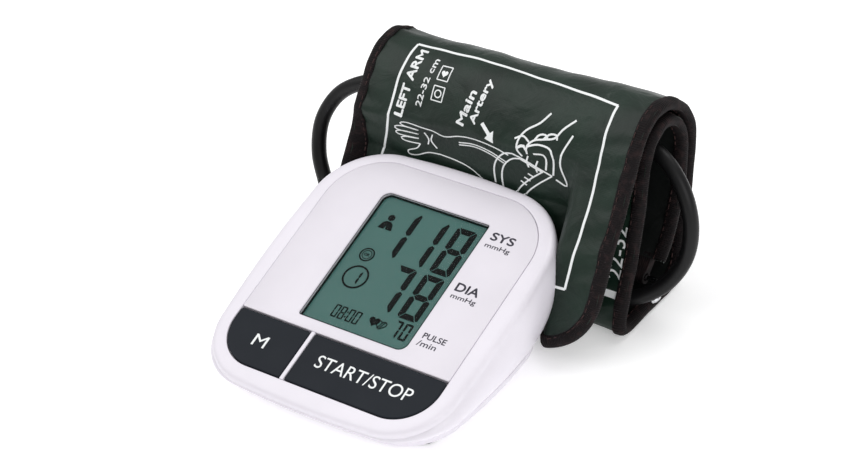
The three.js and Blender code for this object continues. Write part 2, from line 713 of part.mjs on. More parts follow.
// Binding tape over the two long edges and round the flap's end, as one strip.
const bindingSize = { width: cuff.bindingWidth - gap, half: 2.1 };
function bindingStrip() {
  const edge = (distance, side) => {
    const x = cuff.centre + side * (halfWidth(distance) + gap);
    return { point: bandPoint(distance, x), normal: bandNormal(distance, x) };
  };
  const stations = [
    ...bandSteps.slice().reverse().map((distance) => edge(distance, -1)),
    ...[-0.5, 0, 0.5].map((share) => {
      const x = cuff.centre + share * 2 * halfWidth(tipSteps[0]) * 0.9;
      const station = { point: bandPoint(tipSteps[0], x), normal: bandNormal(tipSteps[0], x) };
      const outwards = bandPoint(0, x).sub(bandPoint(2, x)).normalize();
      station.point.addScaledVector(outwards, gap + 0.1);
      return station;
    }),
    ...bandSteps.map((distance) => edge(distance, 1)),
  ];
  const rings = stations.map((station, i) => {
    const before = stations[Math.max(i - 1, 0)].point;
    const after = stations[Math.min(i + 1, stations.length - 1)].point;
    const forward = after.clone().sub(before).normalize();
    const outwards = forward.cross(station.normal).normalize();
    const corner = (out, up) => station.point.clone()
      .addScaledVector(outwards, out * bindingSize.width)
      .addScaledVector(station.normal, up * bindingSize.half)
      .toArray();
    return [corner(0, -1), corner(0, 1), corner(1, 1), corner(1, -1)];
  });
  return loft(rings);
}
addPart(assembly, 'cuff_binding', bindingStrip(), 'binding');

// Hook fastener under the flap's free end.
const patchGap = outside + cuff.inner + gap + 0.1;
const patchThickness = 0.5;
addPart(assembly, 'hook_patch', bandSolid(
  bandSteps.filter((distance) => distance > 5 && distance < 70), columns,
  -patchGap - patchThickness, -patchGap,
  (distance) => 0.5 * halfWidth(distance),
), 'hook');

// ---------------------------------------------------------------- metal ring and its sleeve

const ring = { axisY: 66.6, axisZ: 13, freeY: 61.4, freeZ: 6.5, halfLength: 73, wire: 1.25, corner: 3 };

// A closed wire of round section along a rounded rectangle.
function wireRing() {
  const depth = Math.hypot(ring.freeY - ring.axisY, ring.freeZ - ring.axisZ);
  const reach = ring.halfLength - ring.wire;
  const outline = roundedOutline(-reach, reach, -depth, 0, Array(4).fill(ring.corner), 4);
  const down = new THREE.Vector3(0, (ring.freeY - ring.axisY) / depth, (ring.freeZ - ring.axisZ) / depth);
  const across = new THREE.Vector3(1, 0, 0);
  const facing = across.clone().cross(down);
  const sides = 10;
  const positions = [];
  outline.forEach(([x, y], i) => {
    const [px, py] = outline[(i + outline.length - 1) % outline.length];
    const [nx, ny] = outline[(i + 1) % outline.length];
    const length = Math.hypot(nx - px, ny - py);
    const outX = (ny - py) / length;
    const outY = -(nx - px) / length;
    const centre = new THREE.Vector3(cuff.centre + x, ring.axisY, ring.axisZ).addScaledVector(down, -y);
    const outwards = across.clone().multiplyScalar(outX).addScaledVector(down, -outY);
    for (let k = 0; k < sides; k += 1) {
      const angle = (k / sides) * 2 * Math.PI;
      const point = centre.clone()
        .addScaledVector(outwards, ring.wire * Math.cos(angle))
        .addScaledVector(facing, ring.wire * Math.sin(angle));
      positions.push(...point.toArray());
    }
  });
  const index = [];
  const count = outline.length;
  for (let i = 0; i < count; i += 1) {
    for (let k = 0; k < sides; k += 1) {
      const a = i * sides + k;
      const b = i * sides + ((k + 1) % sides);
      const c = ((i + 1) % count) * sides + k;
      const d = ((i + 1) % count) * sides + ((k + 1) % sides);
      index.push(a, b, c, b, d, c);
    }
  }
  const geometry = new THREE.BufferGeometry();
  geometry.setAttribute('position', new THREE.Float32BufferAttribute(positions, 3));
  geometry.setIndex(index);
  return geometry;
}
addPart(assembly, 'metal_ring', wireRing(), 'steel');

const sleeveSpan = { left: cuff.centre - 64, right: cuff.centre + 64 };
const sleeve = { outer: 2.9, bore: 1.7 };
addPart(assembly, 'ring_sleeve', cut(
  rod('x', sleeve.outer, sleeveSpan.left, sleeveSpan.right, [ring.axisY, ring.axisZ], 16),
  rod('x', sleeve.bore, sleeveSpan.left - 5, sleeveSpan.right + 5, [ring.axisY, ring.axisZ], 16),
), 'binding');

// ---------------------------------------------------------------- air hose

// The plug's nozzle goes into the socket, then the plug turns back and carries the hose.
const plug = { turnX: -65, nozzle: 2.3, body: 4.6, tail: 3.9, back: 27 };
addPart(assembly, 'air_plug', join(
  rod('x', plug.nozzle, plug.turnX, socket.x + 5, [socket.y, socket.z], 16),
  rod('x', plug.body, plug.turnX - 4, socket.x - 1.9, [socket.y, socket.z], 20),
  rod('y', plug.tail, socket.y, plug.back, [plug.turnX, socket.z], 20),
), 'rubber');

const hosePath = [
  [plug.turnX, plug.back + 0.4, socket.z],
  [-65.1, 32.6, 10.7], [-66.8, 38.6, 10.6], [-70.3, 45.2, 11.4], [-78.2, 54.5, 16],
  [-85.5, 61.1, 27], [-86, 66.7, 40.7], [-79.2, 71.5, 52.9], [-67, 73.8, 61], [-52.5, 75, 64.6],
  [-37.7, 76.3, 66.1], [-22.8, 77.4, 67.2], [-7.9, 78.4, 68.1], [7, 79, 68.5], [21.9, 79.6, 68.8],
  [36.9, 79.9, 69], [51.9, 80, 68.8], [66.8, 80.2, 69.8], [80.8, 77.9, 65.6], [91.2, 74.4, 55.7],
  [95.9, 71.4, 41.9], [94.5, 68.4, 27.4], [87.7, 62, 15.9], [76, 55.4, 9.7], [61.6, 51.9, 8.8],
  [46.7, 52.2, 8.8], [31.8, 52.1, 8.6], [16.8, 52.2, 8.8], [1.9, 52.4, 8.9], [-13, 53.4, 8.9],
  [-27.5, 56, 10.6], [-39.2, 60.4, 18.6], [-44.4, 65.4, 31.3], [-41.2, 69.8, 44.9],
  [-30.5, 72.7, 54.7], [-16.1, 73.9, 58.1], [-1.3, 74.7, 56.1], [13.3, 76.7, 53.2], [27.5, 80.1, 49.8],
  [35, 82.3, 48.2],
];
const hoseCurve = curveThrough(hosePath);
hoseCurve.arcLengthDivisions = 600;
addPart(assembly, 'air_hose', tubeAlong(hosePath, hoseDiameter / 2, 10, 72), 'hose');

// The port is welded to the lining of the innermost turn and points along the hose's end.
const port = { x: 42.6, z: 46.8, from: 371, to: 393, stem: 4.6 };
const hoseEnd = hoseCurve.getPointAt(1);
const hoseAim = hoseCurve.getTangentAt(1);
function portStem(length) {
  const stem = new THREE.CylinderGeometry(port.stem, port.stem - 0.4, length, 16);
  stem.translate(0, length / 2 + 0.4, 0);
  stem.applyQuaternion(new THREE.Quaternion().setFromUnitVectors(new THREE.Vector3(0, 1, 0), hoseAim));
  stem.translate(...hoseEnd.toArray());
  return stem;
}
addPart(assembly, 'hose_port', join(
  portStem(6),
  rod('y', port.stem, hoseEnd.y - 0.6, 86.5, [port.x, port.z], 16),
  bandSolid(bandSteps.filter((distance) => distance > port.from && distance < port.to),
    columns.filter((column) => column > 0.3 && column < 0.65), -patchGap - 1.4, -patchGap, halfWidth),
), 'rubber');

export default group;
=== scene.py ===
"""Looks of the upper arm blood pressure monitor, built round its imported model."""

import json
import math

import bmesh
import bpy
import numpy as np
from mathutils import Matrix, Quaternion, Vector


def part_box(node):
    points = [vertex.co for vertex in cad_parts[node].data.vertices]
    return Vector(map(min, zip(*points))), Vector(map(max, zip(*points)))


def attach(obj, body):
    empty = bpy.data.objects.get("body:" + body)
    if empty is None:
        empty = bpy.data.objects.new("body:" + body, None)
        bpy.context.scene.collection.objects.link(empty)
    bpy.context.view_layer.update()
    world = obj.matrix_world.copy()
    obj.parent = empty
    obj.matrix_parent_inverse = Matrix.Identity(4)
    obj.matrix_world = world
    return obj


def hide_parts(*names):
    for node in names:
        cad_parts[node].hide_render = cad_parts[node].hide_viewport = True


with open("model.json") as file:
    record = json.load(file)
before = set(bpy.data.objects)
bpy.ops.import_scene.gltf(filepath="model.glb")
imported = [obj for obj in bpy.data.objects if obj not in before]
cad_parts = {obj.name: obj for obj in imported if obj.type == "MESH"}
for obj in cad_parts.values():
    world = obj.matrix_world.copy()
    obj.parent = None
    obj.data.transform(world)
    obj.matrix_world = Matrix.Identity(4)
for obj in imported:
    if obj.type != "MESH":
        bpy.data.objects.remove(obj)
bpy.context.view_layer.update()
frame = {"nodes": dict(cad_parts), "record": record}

# ---- places and sizes
# Lengths are in millimetres, in two frames of the monitor's own. UPRIGHT stands on the table under the
# display's centre: x right, y back, z up. FACE lies on the tilted face: x right, y up the slope, z out.

MM = 0.001
MONITOR = "monitor_and_cuff"
TILT = math.radians(18)

window_low, window_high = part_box("display_window")
face_normal = Vector((0, -math.sin(TILT), math.cos(TILT)))
WINDOW_MIDDLE_DEPTH = 0.9
face_origin = (window_low + window_high) / 2 + face_normal * WINDOW_MIDDLE_DEPTH * MM
FACE = Matrix.Translation(face_origin) @ Matrix.Rotation(TILT, 4, "X") @ Matrix.Scale(MM, 4)
UPRIGHT = Matrix.Translation((face_origin.x, face_origin.y, 0)) @ Matrix.Scale(MM, 4)
FACE_HEIGHT = face_origin.z / MM

GAP = 0.3
PANEL_GAP = 0.16
PANEL = {"left": -51, "right": 51.4, "top": 48, "bottom": -38.8, "top_radius": 25, "thickness": 1.6}
KEYS = {"bottom": -63.1, "radius": 18.5, "divider": -14.5, "divider_width": 1.8, "thickness": 1.9}
KEY_POST = {"memory": -33.2, "start": 18, "y": -51, "z": -4}
WELL_DEPTH = 3.2
DISPLAY = {"half_width": 26, "half_height": 33.3, "big": 4, "small": 1}
RIM = {"left": -58.2, "right": 58.6, "front": -70.6, "back": 53.4, "front_radius": 27, "back_radius": 31}
RIM_DROP = 3.6
BASE = {"left": -56.4, "right": 56.8, "front": -62.4, "back": 28.5, "front_radius": 25, "back_radius": 23}
WALL = 2.2
WALL_BULGE = (3.1, 1.9)
BACK_CORNER_BULGE = 2
SIDE_BULGE = 1.2
SPLIT = 6.3
CEILING = -4.6
GLASS_DEPTH = -1.98

CAMERA = {"place": (543.3, -646.3, 647.9), "aim": (-0.5141, 0.6325, -0.5793), "roll": -6.5, "lens": 110}

CUFF = {"centre": 12.5, "width": 140, "binding": 1.7, "face": 0.9, "skin": 0.9, "tip_radius": 28}
SEWN_LOOP = {"axis": (66.6, 13), "radius": 2.9, "bore": 1.7, "half_gap": 1.95, "half_width": 64}
HOSE_DIAMETER = 6.6
PLUG = {"y": 14, "z": 10.8, "barrel_x": -69, "nozzle_x": -66, "tail_x": -65, "ribs": 5, "rib_pitch": 1.9}

HOSE_PATH = [
    [-65, 27.4, 10.8], [-65.1, 32.6, 10.7], [-66.8, 38.6, 10.6], [-70.3, 45.2, 11.4], [-78.2, 54.5, 16],
    [-85.5, 61.1, 27], [-86, 66.7, 40.7], [-79.2, 71.5, 52.9], [-67, 73.8, 61], [-52.5, 75, 64.6],
    [-37.7, 76.3, 66.1], [-22.8, 77.4, 67.2], [-7.9, 78.4, 68.1], [7, 79, 68.5], [21.9, 79.6, 68.8],
    [36.9, 79.9, 69], [51.9, 80, 68.8], [66.8, 80.2, 69.8], [80.8, 77.9, 65.6], [91.2, 74.4, 55.7],
    [95.9, 71.4, 41.9], [94.5, 68.4, 27.4], [87.7, 62, 15.9], [76, 55.4, 9.7], [61.6, 51.9, 8.8],
    [46.7, 52.2, 8.8], [31.8, 52.1, 8.6], [16.8, 52.2, 8.8], [1.9, 52.4, 8.9], [-13, 53.4, 8.9],
    [-27.5, 56, 10.6], [-39.2, 60.4, 18.6], [-44.4, 65.4, 31.3], [-41.2, 69.8, 44.9],
    [-30.5, 72.7, 54.7], [-16.1, 73.9, 58.1], [-1.3, 74.7, 56.1], [13.3, 76.7, 53.2], [27.5, 80.1, 49.8],
    [35, 82.3, 48.2],
]

# Middle line of the rolled band at its right end, as (y, z), from the free end of the outer flap over
# the top, down the back, along the table, up inside and down to the metal ring.
ROLL_RIGHT = [
    (15.5, 5.4), (20.5, 17), (27, 31), (36.5, 46.5), (46, 58.5), (54, 70.5), (61, 81), (69, 87.4),
    (78, 88.9), (87, 86.3), (94.5, 80.3), (99.3, 72), (100.3, 63), (98, 52), (95, 40), (91.5, 26),
    (87.8, 12.5), (84, 5.4), (78.5, 2.7), (70, 2.6), (55, 2.6), (46, 2.6), (41.6, 4.4), (41.6, 8.6),
    (45.2, 16.5), (51.4, 29), (56.8, 42), (61.8, 57), (65.6, 69), (70.4, 77.2), (78.5, 81), (86, 79.2),
    (91, 74.8), (93.6, 67.5), (93.2, 58), (90.5, 46), (86, 35.5), (80, 26), (72.5, 18.2),
]
OUTER_SHIFT = [
    (3, 0), (3.5, 0), (4, 0), (4.5, -0.5), (5, -1), (5.5, -2), (6, -3.2), (5.4, -4.4), (4, -4.5),
    (2, -4), (0.6, -3), (-0.5, -2),
]
INNER_SHIFT = {27: (1, -0.6), 28: (2, -2), 29: (1.6, -3), 30: (0.6, -3.6), 31: (0, -3), 32: (-0.4, -2)}
# The flap keeps behind the housing's back as far as FLAP_REACH, and comes free of it between REST_FROM
# and FREE_FROM from the middle. INNER_TURN is where the turn behind it makes room.
FLAP_REACH = 92
BACK_REST = {"low": 33.5, "rise": 22, "height": 47}
INNER_TURN = {"rise": (236, 261), "fall": (300, 330), "push": 4}
REST_FROM, FREE_FROM = 50, 60.5


# ---- camera

def linked(name, data):
    """A new object in the scene."""
    made = bpy.data.objects.new(name, data)
    bpy.context.scene.collection.objects.link(made)
    return made


def make_camera():
    """A long lens above the right front corner, turned a little about its own axis."""
    data = bpy.data.cameras.new("camera")
    data.lens = CAMERA["lens"]
    camera = linked("camera", data)
    camera.location = UPRIGHT @ Vector(CAMERA["place"])
    camera.rotation_mode = "QUATERNION"
    roll = Quaternion((0, 0, 1), math.radians(CAMERA["roll"]))
    camera.rotation_quaternion = Vector(CAMERA["aim"]).to_track_quat("-Z", "Y") @ roll
    bpy.context.scene.camera = camera


# ---- materials
# A wave texture of scale 1 repeats every WAVE metres. Sizes of weave, ribs and relief are in metres.

WAVE = 0.314
TONE_SCALE, SHINE_SCALE = 35.0, 90.0
WEAVE = {"thread": 0.00034, "height": 0.00012, "crease_scale": 75.0, "crease_height": 0.0012}
TAPE_RIB = 0.0009


def shader(name, color, roughness, metallic=0.0, **settings):
    """A principled material with its own node tree, ready for texture nodes."""
    made = bpy.data.materials.new(name)
    made.use_nodes = True
    tree = made.node_tree
    surface = tree.nodes["Principled BSDF"]
    surface.inputs["Base Color"].default_value = (*color, 1)
    surface.inputs["Roughness"].default_value = roughness
    surface.inputs["Metallic"].default_value = metallic
    for socket, value in settings.items():
        surface.inputs[socket.replace("_", " ")].default_value = value
    return made, tree, surface


def node(tree, kind, **inputs):
    """A texture node with its input sockets set."""
    made = tree.nodes.new(kind)
    for socket, value in inputs.items():
        made.inputs[socket.replace("_", " ")].default_value = value
    return made


def noise_field(tree, scale, detail=3.0):
    place = tree.nodes.new("ShaderNodeTexCoord")
    field = node(tree, "ShaderNodeTexNoise", Scale=scale, Detail=detail)
    tree.links.new(place.outputs["Object"], field.inputs["Vector"])
    return field


def cloth_coordinates(tree):
    place = tree.nodes.new("ShaderNodeUVMap")
    place.uv_map = "flat"
    return place.outputs["UV"]


def blend_tones(tree, surface, field, stops):
    """Colours the surface by a texture, from one (position, colour) stop to the other."""
    ramp = tree.nodes.new("ShaderNodeValToRGB")
    for element, (position, color) in zip(ramp.color_ramp.elements, stops):
        element.position = position
        element.color = (*color, 1)
    tree.links.new(field.outputs[0], ramp.inputs["Fac"])
    tree.links.new(ramp.outputs["Color"], surface.inputs["Base Color"])


def tint(tree, surface, field, color, spread):
    """Mixes the colour between a darker and a lighter tone by a texture."""
    darker, lighter = ([min(1, c * share) for c in color] for share in (1 - spread, 1 + spread))
    blend_tones(tree, surface, field, ((0.3, darker), (0.7, lighter)))


def relief(tree, surface, height, strength, distance):
    """Bumps the surface by a texture's height, on top of the bumps it already has."""
    bump = node(tree, "ShaderNodeBump", Strength=strength, Distance=distance)
    tree.links.new(height, bump.inputs["Height"])
    for earlier in surface.inputs["Normal"].links:
        tree.links.new(earlier.from_socket, bump.inputs["Normal"])
    tree.links.new(bump.outputs["Normal"], surface.inputs["Normal"])


def vary_roughness(tree, surface, scale, roughness, spread):
    varied = node(tree, "ShaderNodeMapRange", To_Min=roughness * (1 - spread),
                  To_Max=min(1, roughness * (1 + spread)))
    tree.links.new(noise_field(tree, scale).outputs[0], varied.inputs["Value"])
    tree.links.new(varied.outputs["Result"], surface.inputs["Roughness"])


def grained(name, color, roughness, metallic=0.0, grain=1200.0, strength=0.12, spread=0.03, **settings):
    """Moulded plastic, rubber or metal: fine surface grain and a slow change of tone."""
    made, tree, surface = shader(name, color, roughness, metallic, **settings)
    tint(tree, surface, noise_field(tree, TONE_SCALE), color, spread)
    fine = noise_field(tree, grain, 2.0)
    relief(tree, surface, fine.outputs[0], strength, 0.0001)
    vary_roughness(tree, surface, SHINE_SCALE, roughness, 0.12)
    return made


def woven(name, color, roughness, spread, **settings):
    """Plain weave in the cloth's own flat coordinates, with slow patches of darker and lighter tone."""
    made, tree, surface = shader(name, color, roughness, **settings)
    tint(tree, surface, noise_field(tree, 55.0, 4.0), color, spread)
    place = cloth_coordinates(tree)
    mesh = node(tree, "ShaderNodeMath")
    mesh.operation = "MULTIPLY"
    for k, direction in enumerate(("X", "Y")):
        wave = node(tree, "ShaderNodeTexWave", Scale=WAVE / WEAVE["thread"] / 2, Distortion=0.4)
        wave.bands_direction = direction
        tree.links.new(place, wave.inputs["Vector"])
        tree.links.new(wave.outputs["Fac"], mesh.inputs[k])
    relief(tree, surface, mesh.outputs[0], 0.2, WEAVE["height"])
    creases = noise_field(tree, WEAVE["crease_scale"], 5.0)
    creases.inputs["Distortion"].default_value = 0.9
    relief(tree, surface, creases.outputs[0], 0.85, WEAVE["crease_height"])
    vary_roughness(tree, surface, 240.0, roughness, 0.15)
    return made


def ribbed_tape(name, color, painted_highlight):
    """Grosgrain binding: ribs across the tape, and a paler tone painted in by a noise texture as highlights.
    """
    made, tree, surface = shader(name, color, 0.75, Specular_IOR_Level=0.2)
    place = cloth_coordinates(tree)
    ribs = node(tree, "ShaderNodeTexWave", Scale=WAVE / TAPE_RIB, Distortion=0.8)
    tree.links.new(place, ribs.inputs["Vector"])
    highlight_field = node(tree, "ShaderNodeTexNoise", Scale=260.0, Detail=5.0)
    tree.links.new(place, highlight_field.inputs["Vector"])
    blend_tones(tree, surface, highlight_field, ((0.5, color), (0.85, painted_highlight)))
    relief(tree, surface, ribs.outputs["Fac"], 0.6, 0.0003)
    return made


def liquid_crystal(name, color):
    """Reflective display glass: an even tone with faint, slow patches."""
    made, tree, surface = shader(name, color, 0.3)
    tint(tree, surface, noise_field(tree, 14.0, 1.0), color, 0.05)
    relief(tree, surface, noise_field(tree, 2500.0).outputs[0], 0.04, 0.00005)
    return made


def clear_window(name):
    """Thin clear plastic that dims what is behind it a little."""
    made, tree, surface = shader(name, (0.03, 0.04, 0.04), 0.04, Alpha=0.05, IOR=1.49,
                                 Specular_IOR_Level=0.12)
    vary_roughness(tree, surface, 60.0, 0.045, 1 / 3)
    return made


WHITE = grained("white_plastic", (0.80, 0.765, 0.83), 0.36, Coat_Weight=0.12, Coat_Roughness=0.25)
PANEL_WHITE = grained("panel_plastic", (0.76, 0.725, 0.785), 0.42, grain=1600.0)
KEY_GREY = grained("key_plastic", (0.0125, 0.0155, 0.021), 0.52, strength=0.2, spread=0.06,
                   Specular_IOR_Level=0.15)
WINDOW = clear_window("window_plastic")
LCD = liquid_crystal("lcd_teal", (0.027, 0.125, 0.108))
SEGMENT = grained("lcd_segment", (0.002, 0.003, 0.003), 0.6, Specular_IOR_Level=0.1)
PRINT_WHITE = grained("print_white", (0.86, 0.88, 0.88), 0.55)
PRINT_GREY = grained("print_grey", (0.10, 0.095, 0.125), 0.6)
CLOTH = woven("cuff_nylon", (0.006, 0.0175, 0.0108), 0.42, 0.32, Sheen_Weight=0.03, Sheen_Roughness=0.4,
              Specular_IOR_Level=0.34)
LINING = woven("cuff_lining_nylon", (0.006, 0.0075, 0.007), 0.55, 0.12, Specular_IOR_Level=0.3)
# The binding's second, paler colour is a painted highlight.
BINDING = ribbed_tape("binding_tape", (0.005, 0.003, 0.0035), (0.032, 0.016, 0.016))
THREAD = grained("binding_thread", (0.045, 0.024, 0.023), 0.7, Specular_IOR_Level=0.2)
HOSE = grained("hose_rubber", (0.0045, 0.0045, 0.005), 0.42, strength=0.1, Specular_IOR_Level=0.26)
RUBBER = grained("black_rubber", (0.016, 0.016, 0.017), 0.7, grain=900.0, strength=0.25)
CHROME = grained("chrome", (0.72, 0.73, 0.75), 0.14, 1.0, strength=0.03)

SLOT_MATERIAL = {
    "white": WHITE, "panelWhite": PANEL_WHITE, "key": KEY_GREY, "lens": WINDOW, "glass": LCD,
    "rubber": RUBBER, "cloth": CLOTH, "lining": LINING, "binding": BINDING, "hose": HOSE,
    "hook": grained("hook_tape", (0.01, 0.01, 0.011), 0.95, grain=1500.0, strength=0.9),
    "grey": grained("grey_plastic", (0.27, 0.28, 0.3), 0.55),
    "board": grained("board_green", (0.013, 0.14, 0.045), 0.45, spread=0.1),
    "chip": grained("chip_black", (0.012, 0.012, 0.013), 0.45),
    "steel": grained("plated_steel", (0.48, 0.49, 0.5), 0.28, 1.0),
    "brass": grained("brass", (0.5, 0.32, 0.08), 0.35, 1.0),
    "copper": grained("copper", (0.46, 0.14, 0.05), 0.4, 1.0),
    "silicone": grained("silicone", (0.62, 0.65, 0.65), 0.5),
    "cell": grained("cell_sleeve", (0.045, 0.075, 0.14), 0.35),
    "bladder": grained("bladder_rubber", (0.03, 0.034, 0.04), 0.6),
}


def dress_cad_nodes():
    """Every carried-over node gets its slot's material and smooth shading between its sharp edges."""
    for row in frame["record"]["subparts"]:
        made = frame["nodes"][row["node"]]
        made.data.materials.clear()
        made.data.materials.append(SLOT_MATERIAL[row["material_slot"]])
        soften(made.data, 32)
    frame["nodes"]["metal_ring"].data.materials[0] = CHROME


# ---- mesh helpers

def soften(mesh, angle):
    """Smooth shading, kept sharp where faces meet at more than the angle in degrees."""
    mesh.polygons.foreach_set("use_smooth", [True] * len(mesh.polygons))
    mesh.set_sharp_from_angle(angle=math.radians(angle))


def to_metres(points, matrix):
    """Points of one of the two millimetre frames, in the scene's metres."""
    turn = np.array(matrix.to_3x3())
    return np.asarray(points, float) @ turn.T + np.array(matrix.translation)


def piece(name, points, faces, material, body, angle=35, flat=None):
    """A mesh with its points in metres, riding on a body. flat holds cloth coordinates."""
    mesh = bpy.data.meshes.new(name)
    mesh.from_pydata([tuple(point) for point in points], [], [tuple(face) for face in faces])
    if flat is not None:
        layer = mesh.uv_layers.new(name="flat")
        order = np.empty(len(mesh.loops), int)
        mesh.loops.foreach_get("vertex_index", order)
        layer.data.foreach_set("uv", np.asarray(flat, float)[order].ravel())
    work = bmesh.new()
    work.from_mesh(mesh)
    bmesh.ops.recalc_face_normals(work, faces=work.faces)
    work.to_mesh(mesh)
    work.free()
    mesh.materials.append(material)
    soften(mesh, angle)
    made = linked(name, mesh)
    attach(made, body)
    return made


def loop_faces(rings, count, closed):
    """Quads between rings of equal length; closed joins the last ring to the first."""
    faces = []
    for r in range(rings if closed else rings - 1):
        this, other = r * count, (r + 1) % rings * count
        for i in range(count):
            after = (i + 1) % count
            faces.append((this + i, this + after, other + after, other + i))
    return faces


def capped_faces(rings, count):
    """Quads between rings, and a flat face on the first and on the last ring."""
    last = (rings - 1) * count
    return loop_faces(rings, count, False) + [tuple(range(count)), tuple(range(last, last + count))]


TURNED_SIDES = 40


def turned(profile, start, axis):
    """A body of revolution from a start in metres. profile is (distance along, radius) in millimetres."""
    axis = Vector(axis).normalized()
    across = axis.orthogonal().normalized()
    up = axis.cross(across)
    points = []
    for along, radius in profile:
        for u, v in circle(0, 0, radius, TURNED_SIDES):
            points.append(start + (axis * along + across * u + up * v) * MM)
    return points, capped_faces(len(profile), TURNED_SIDES)


def gathered(shapes):
    """Joins (points, faces) pairs."""
    points, faces, shift = [], [], 0
    for more_points, more_faces in shapes:
        points.append(np.asarray(more_points, float))
        faces.extend(tuple(i + shift for i in face) for face in more_faces)
        shift += len(more_points)
    return np.vstack(points), faces


def spline(points, steps):
    """Centripetal curve through the points, as a dense line."""
    p = np.asarray(points, float)
    p = np.vstack([2 * p[0] - p[1], p, 2 * p[-1] - p[-2]])
    line = []
    for i in range(1, len(p) - 2):
        a, b, c, d = p[i - 1:i + 3]
        d0, d1, d2 = (math.sqrt(np.linalg.norm(v)) for v in (b - a, c - b, d - c))
        start = ((b - a) / d0 - (c - a) / (d0 + d1) + (c - b) / d1) * d1
        end = ((c - b) / d1 - (d - b) / (d1 + d2) + (d - c) / d2) * d1
        for t in np.arange(steps) / steps:
            t2, t3 = t * t, t * t * t
            line.append(b * (2 * t3 - 3 * t2 + 1) + start * (t3 - 2 * t2 + t)
                        + c * (3 * t2 - 2 * t3) + end * (t3 - t2))
    line.append(p[-2])
    return np.array(line)


def lengths(line):
    return np.concatenate([[0], np.cumsum(np.linalg.norm(np.diff(line, axis=0), axis=1))])


def resample(line, step):
    along = lengths(line)
    count = max(2, int(round(along[-1] / step)) + 1)
    at = np.linspace(0, along[-1], count)
    return np.column_stack([np.interp(at, along, values) for values in line.T])


# ---- outlines

ARC, SIDE = 20, 12


def outline(left, right, front, back, radii, bow=0.0):
    """Rounded rectangle, anticlockwise from its lower right corner, as the radii are. bow pushes the
    middle of each side outwards. Every outline has the same number of points."""
    arcs = []
    for k, radius in enumerate(radii):
        x = right - radius if k < 2 else left + radius
        y = back - radius if k in (1, 2) else front + radius
        angles = [math.radians(90 * (k - 1 + i / ARC)) for i in range(ARC + 1)]
        arcs.append([(x + radius * math.cos(a), y + radius * math.sin(a)) for a in angles])
    ring = []
    for k, arc in enumerate(arcs):
        ring.extend(arc)
        (x0, y0), (x1, y1) = arc[-1], arcs[(k + 1) % 4][0]
        dx, dy = x1 - x0, y1 - y0
        length = max(math.hypot(dx, dy), 1e-6)
        for t in np.arange(1, SIDE) / SIDE:
            push = bow * 4 * t * (1 - t) / length
            ring.append((x0 + dx * t + dy * push, y0 + dy * t - dx * push))
    return np.array(ring)


def body_outline(size, inset, bow=SIDE_BULGE):
    front, back = size["front_radius"] - inset, size["back_radius"] - inset
    return outline(size["left"] + inset, size["right"] - inset, size["front"] + inset,
                   size["back"] - inset, (front, back, back, front), bow)


def window_outline(margin):
    x, y = DISPLAY["half_width"] + margin, DISPLAY["half_height"] + margin
    big, small = DISPLAY["big"] + margin, DISPLAY["small"] + max(margin, -0.5)
    return outline(-x, x, -y, y, (big, small, big, small))


def panel_outline(inset):
    top = PANEL["top_radius"] - inset
    return outline(PANEL["left"] + inset, PANEL["right"] - inset, PANEL["bottom"] + inset,
                   PANEL["top"] - inset, (0.8, top, top, 0.8))


def key_outline(left, right, inset, radii):
    return outline(left + inset, right - inset, KEYS["bottom"] + inset, PANEL["bottom"] - GAP - inset, radii)


def memory_outline(inset):
    right = KEYS["divider"] - KEYS["divider_width"] / 2
    return key_outline(PANEL["left"], right, inset, (0.9, 0.9, 1.4, KEYS["radius"] - inset))


def start_outline(inset):
    left = KEYS["divider"] + KEYS["divider_width"] / 2
    return key_outline(left, PANEL["right"], inset, (KEYS["radius"] - inset, 1.4, 0.9, 0.9))


def lifted(ring, depth):
    """A ring on the tilted face at a depth along its normal, in the upright frame."""
    c, s = math.cos(TILT), math.sin(TILT)
    x, y = ring[:, 0], ring[:, 1]
    return np.column_stack([x, y * c - depth * s, FACE_HEIGHT + y * s + depth * c])


def at_height(ring, z):
    return np.column_stack([ring, np.full(len(ring), z)])


def shell(rings):
    """The rings' points in metres, with the number of rings and of points in each."""
    return to_metres(np.vstack(rings), UPRIGHT), (len(rings), len(rings[0]))


# ---- monitor

WELL = {"left": PANEL["left"], "right": PANEL["right"], "front": KEYS["bottom"] - 0.2,
        "back": PANEL["top"], "front_radius": KEYS["radius"], "back_radius": PANEL["top_radius"]}
# Edge shapes, as (inset from the outline, depth below the face).
RIM_ROLL = [(0.02, -3.1), (0.12, -2.3), (0.4, -1.5), (0.9, -0.9), (1.6, -0.5), (2.6, -0.25), (3.8, -0.15)]
WELL_EDGE = [(-0.9, -0.12), (-0.35, -0.1), (-0.1, -0.22), (0, -0.5), (0, -WELL_DEPTH)]
PANEL_EDGE = [(PANEL_GAP, -PANEL["thickness"]), (PANEL_GAP, -0.3), (PANEL_GAP + 0.06, -0.1),
              (PANEL_GAP + 0.25, 0)]
PANEL_HOLE = [(0.7, 0), (0.35, -0.08), (0.1, -0.35), (0.05, -0.7), (0.05, -PANEL["thickness"])]
DIVIDER_EDGE = [(0, -WELL_DEPTH), (0, -0.3), (0.12, -0.12), (0.3, -0.05)]
KEY_EDGE = [(GAP, -KEYS["thickness"]), (GAP, -0.5), (GAP + 0.1, -0.22), (GAP + 0.32, -0.06), (GAP + 0.8, 0)]
POST = [(0, 2.7), (0.3, 3), (2.2, 3)]


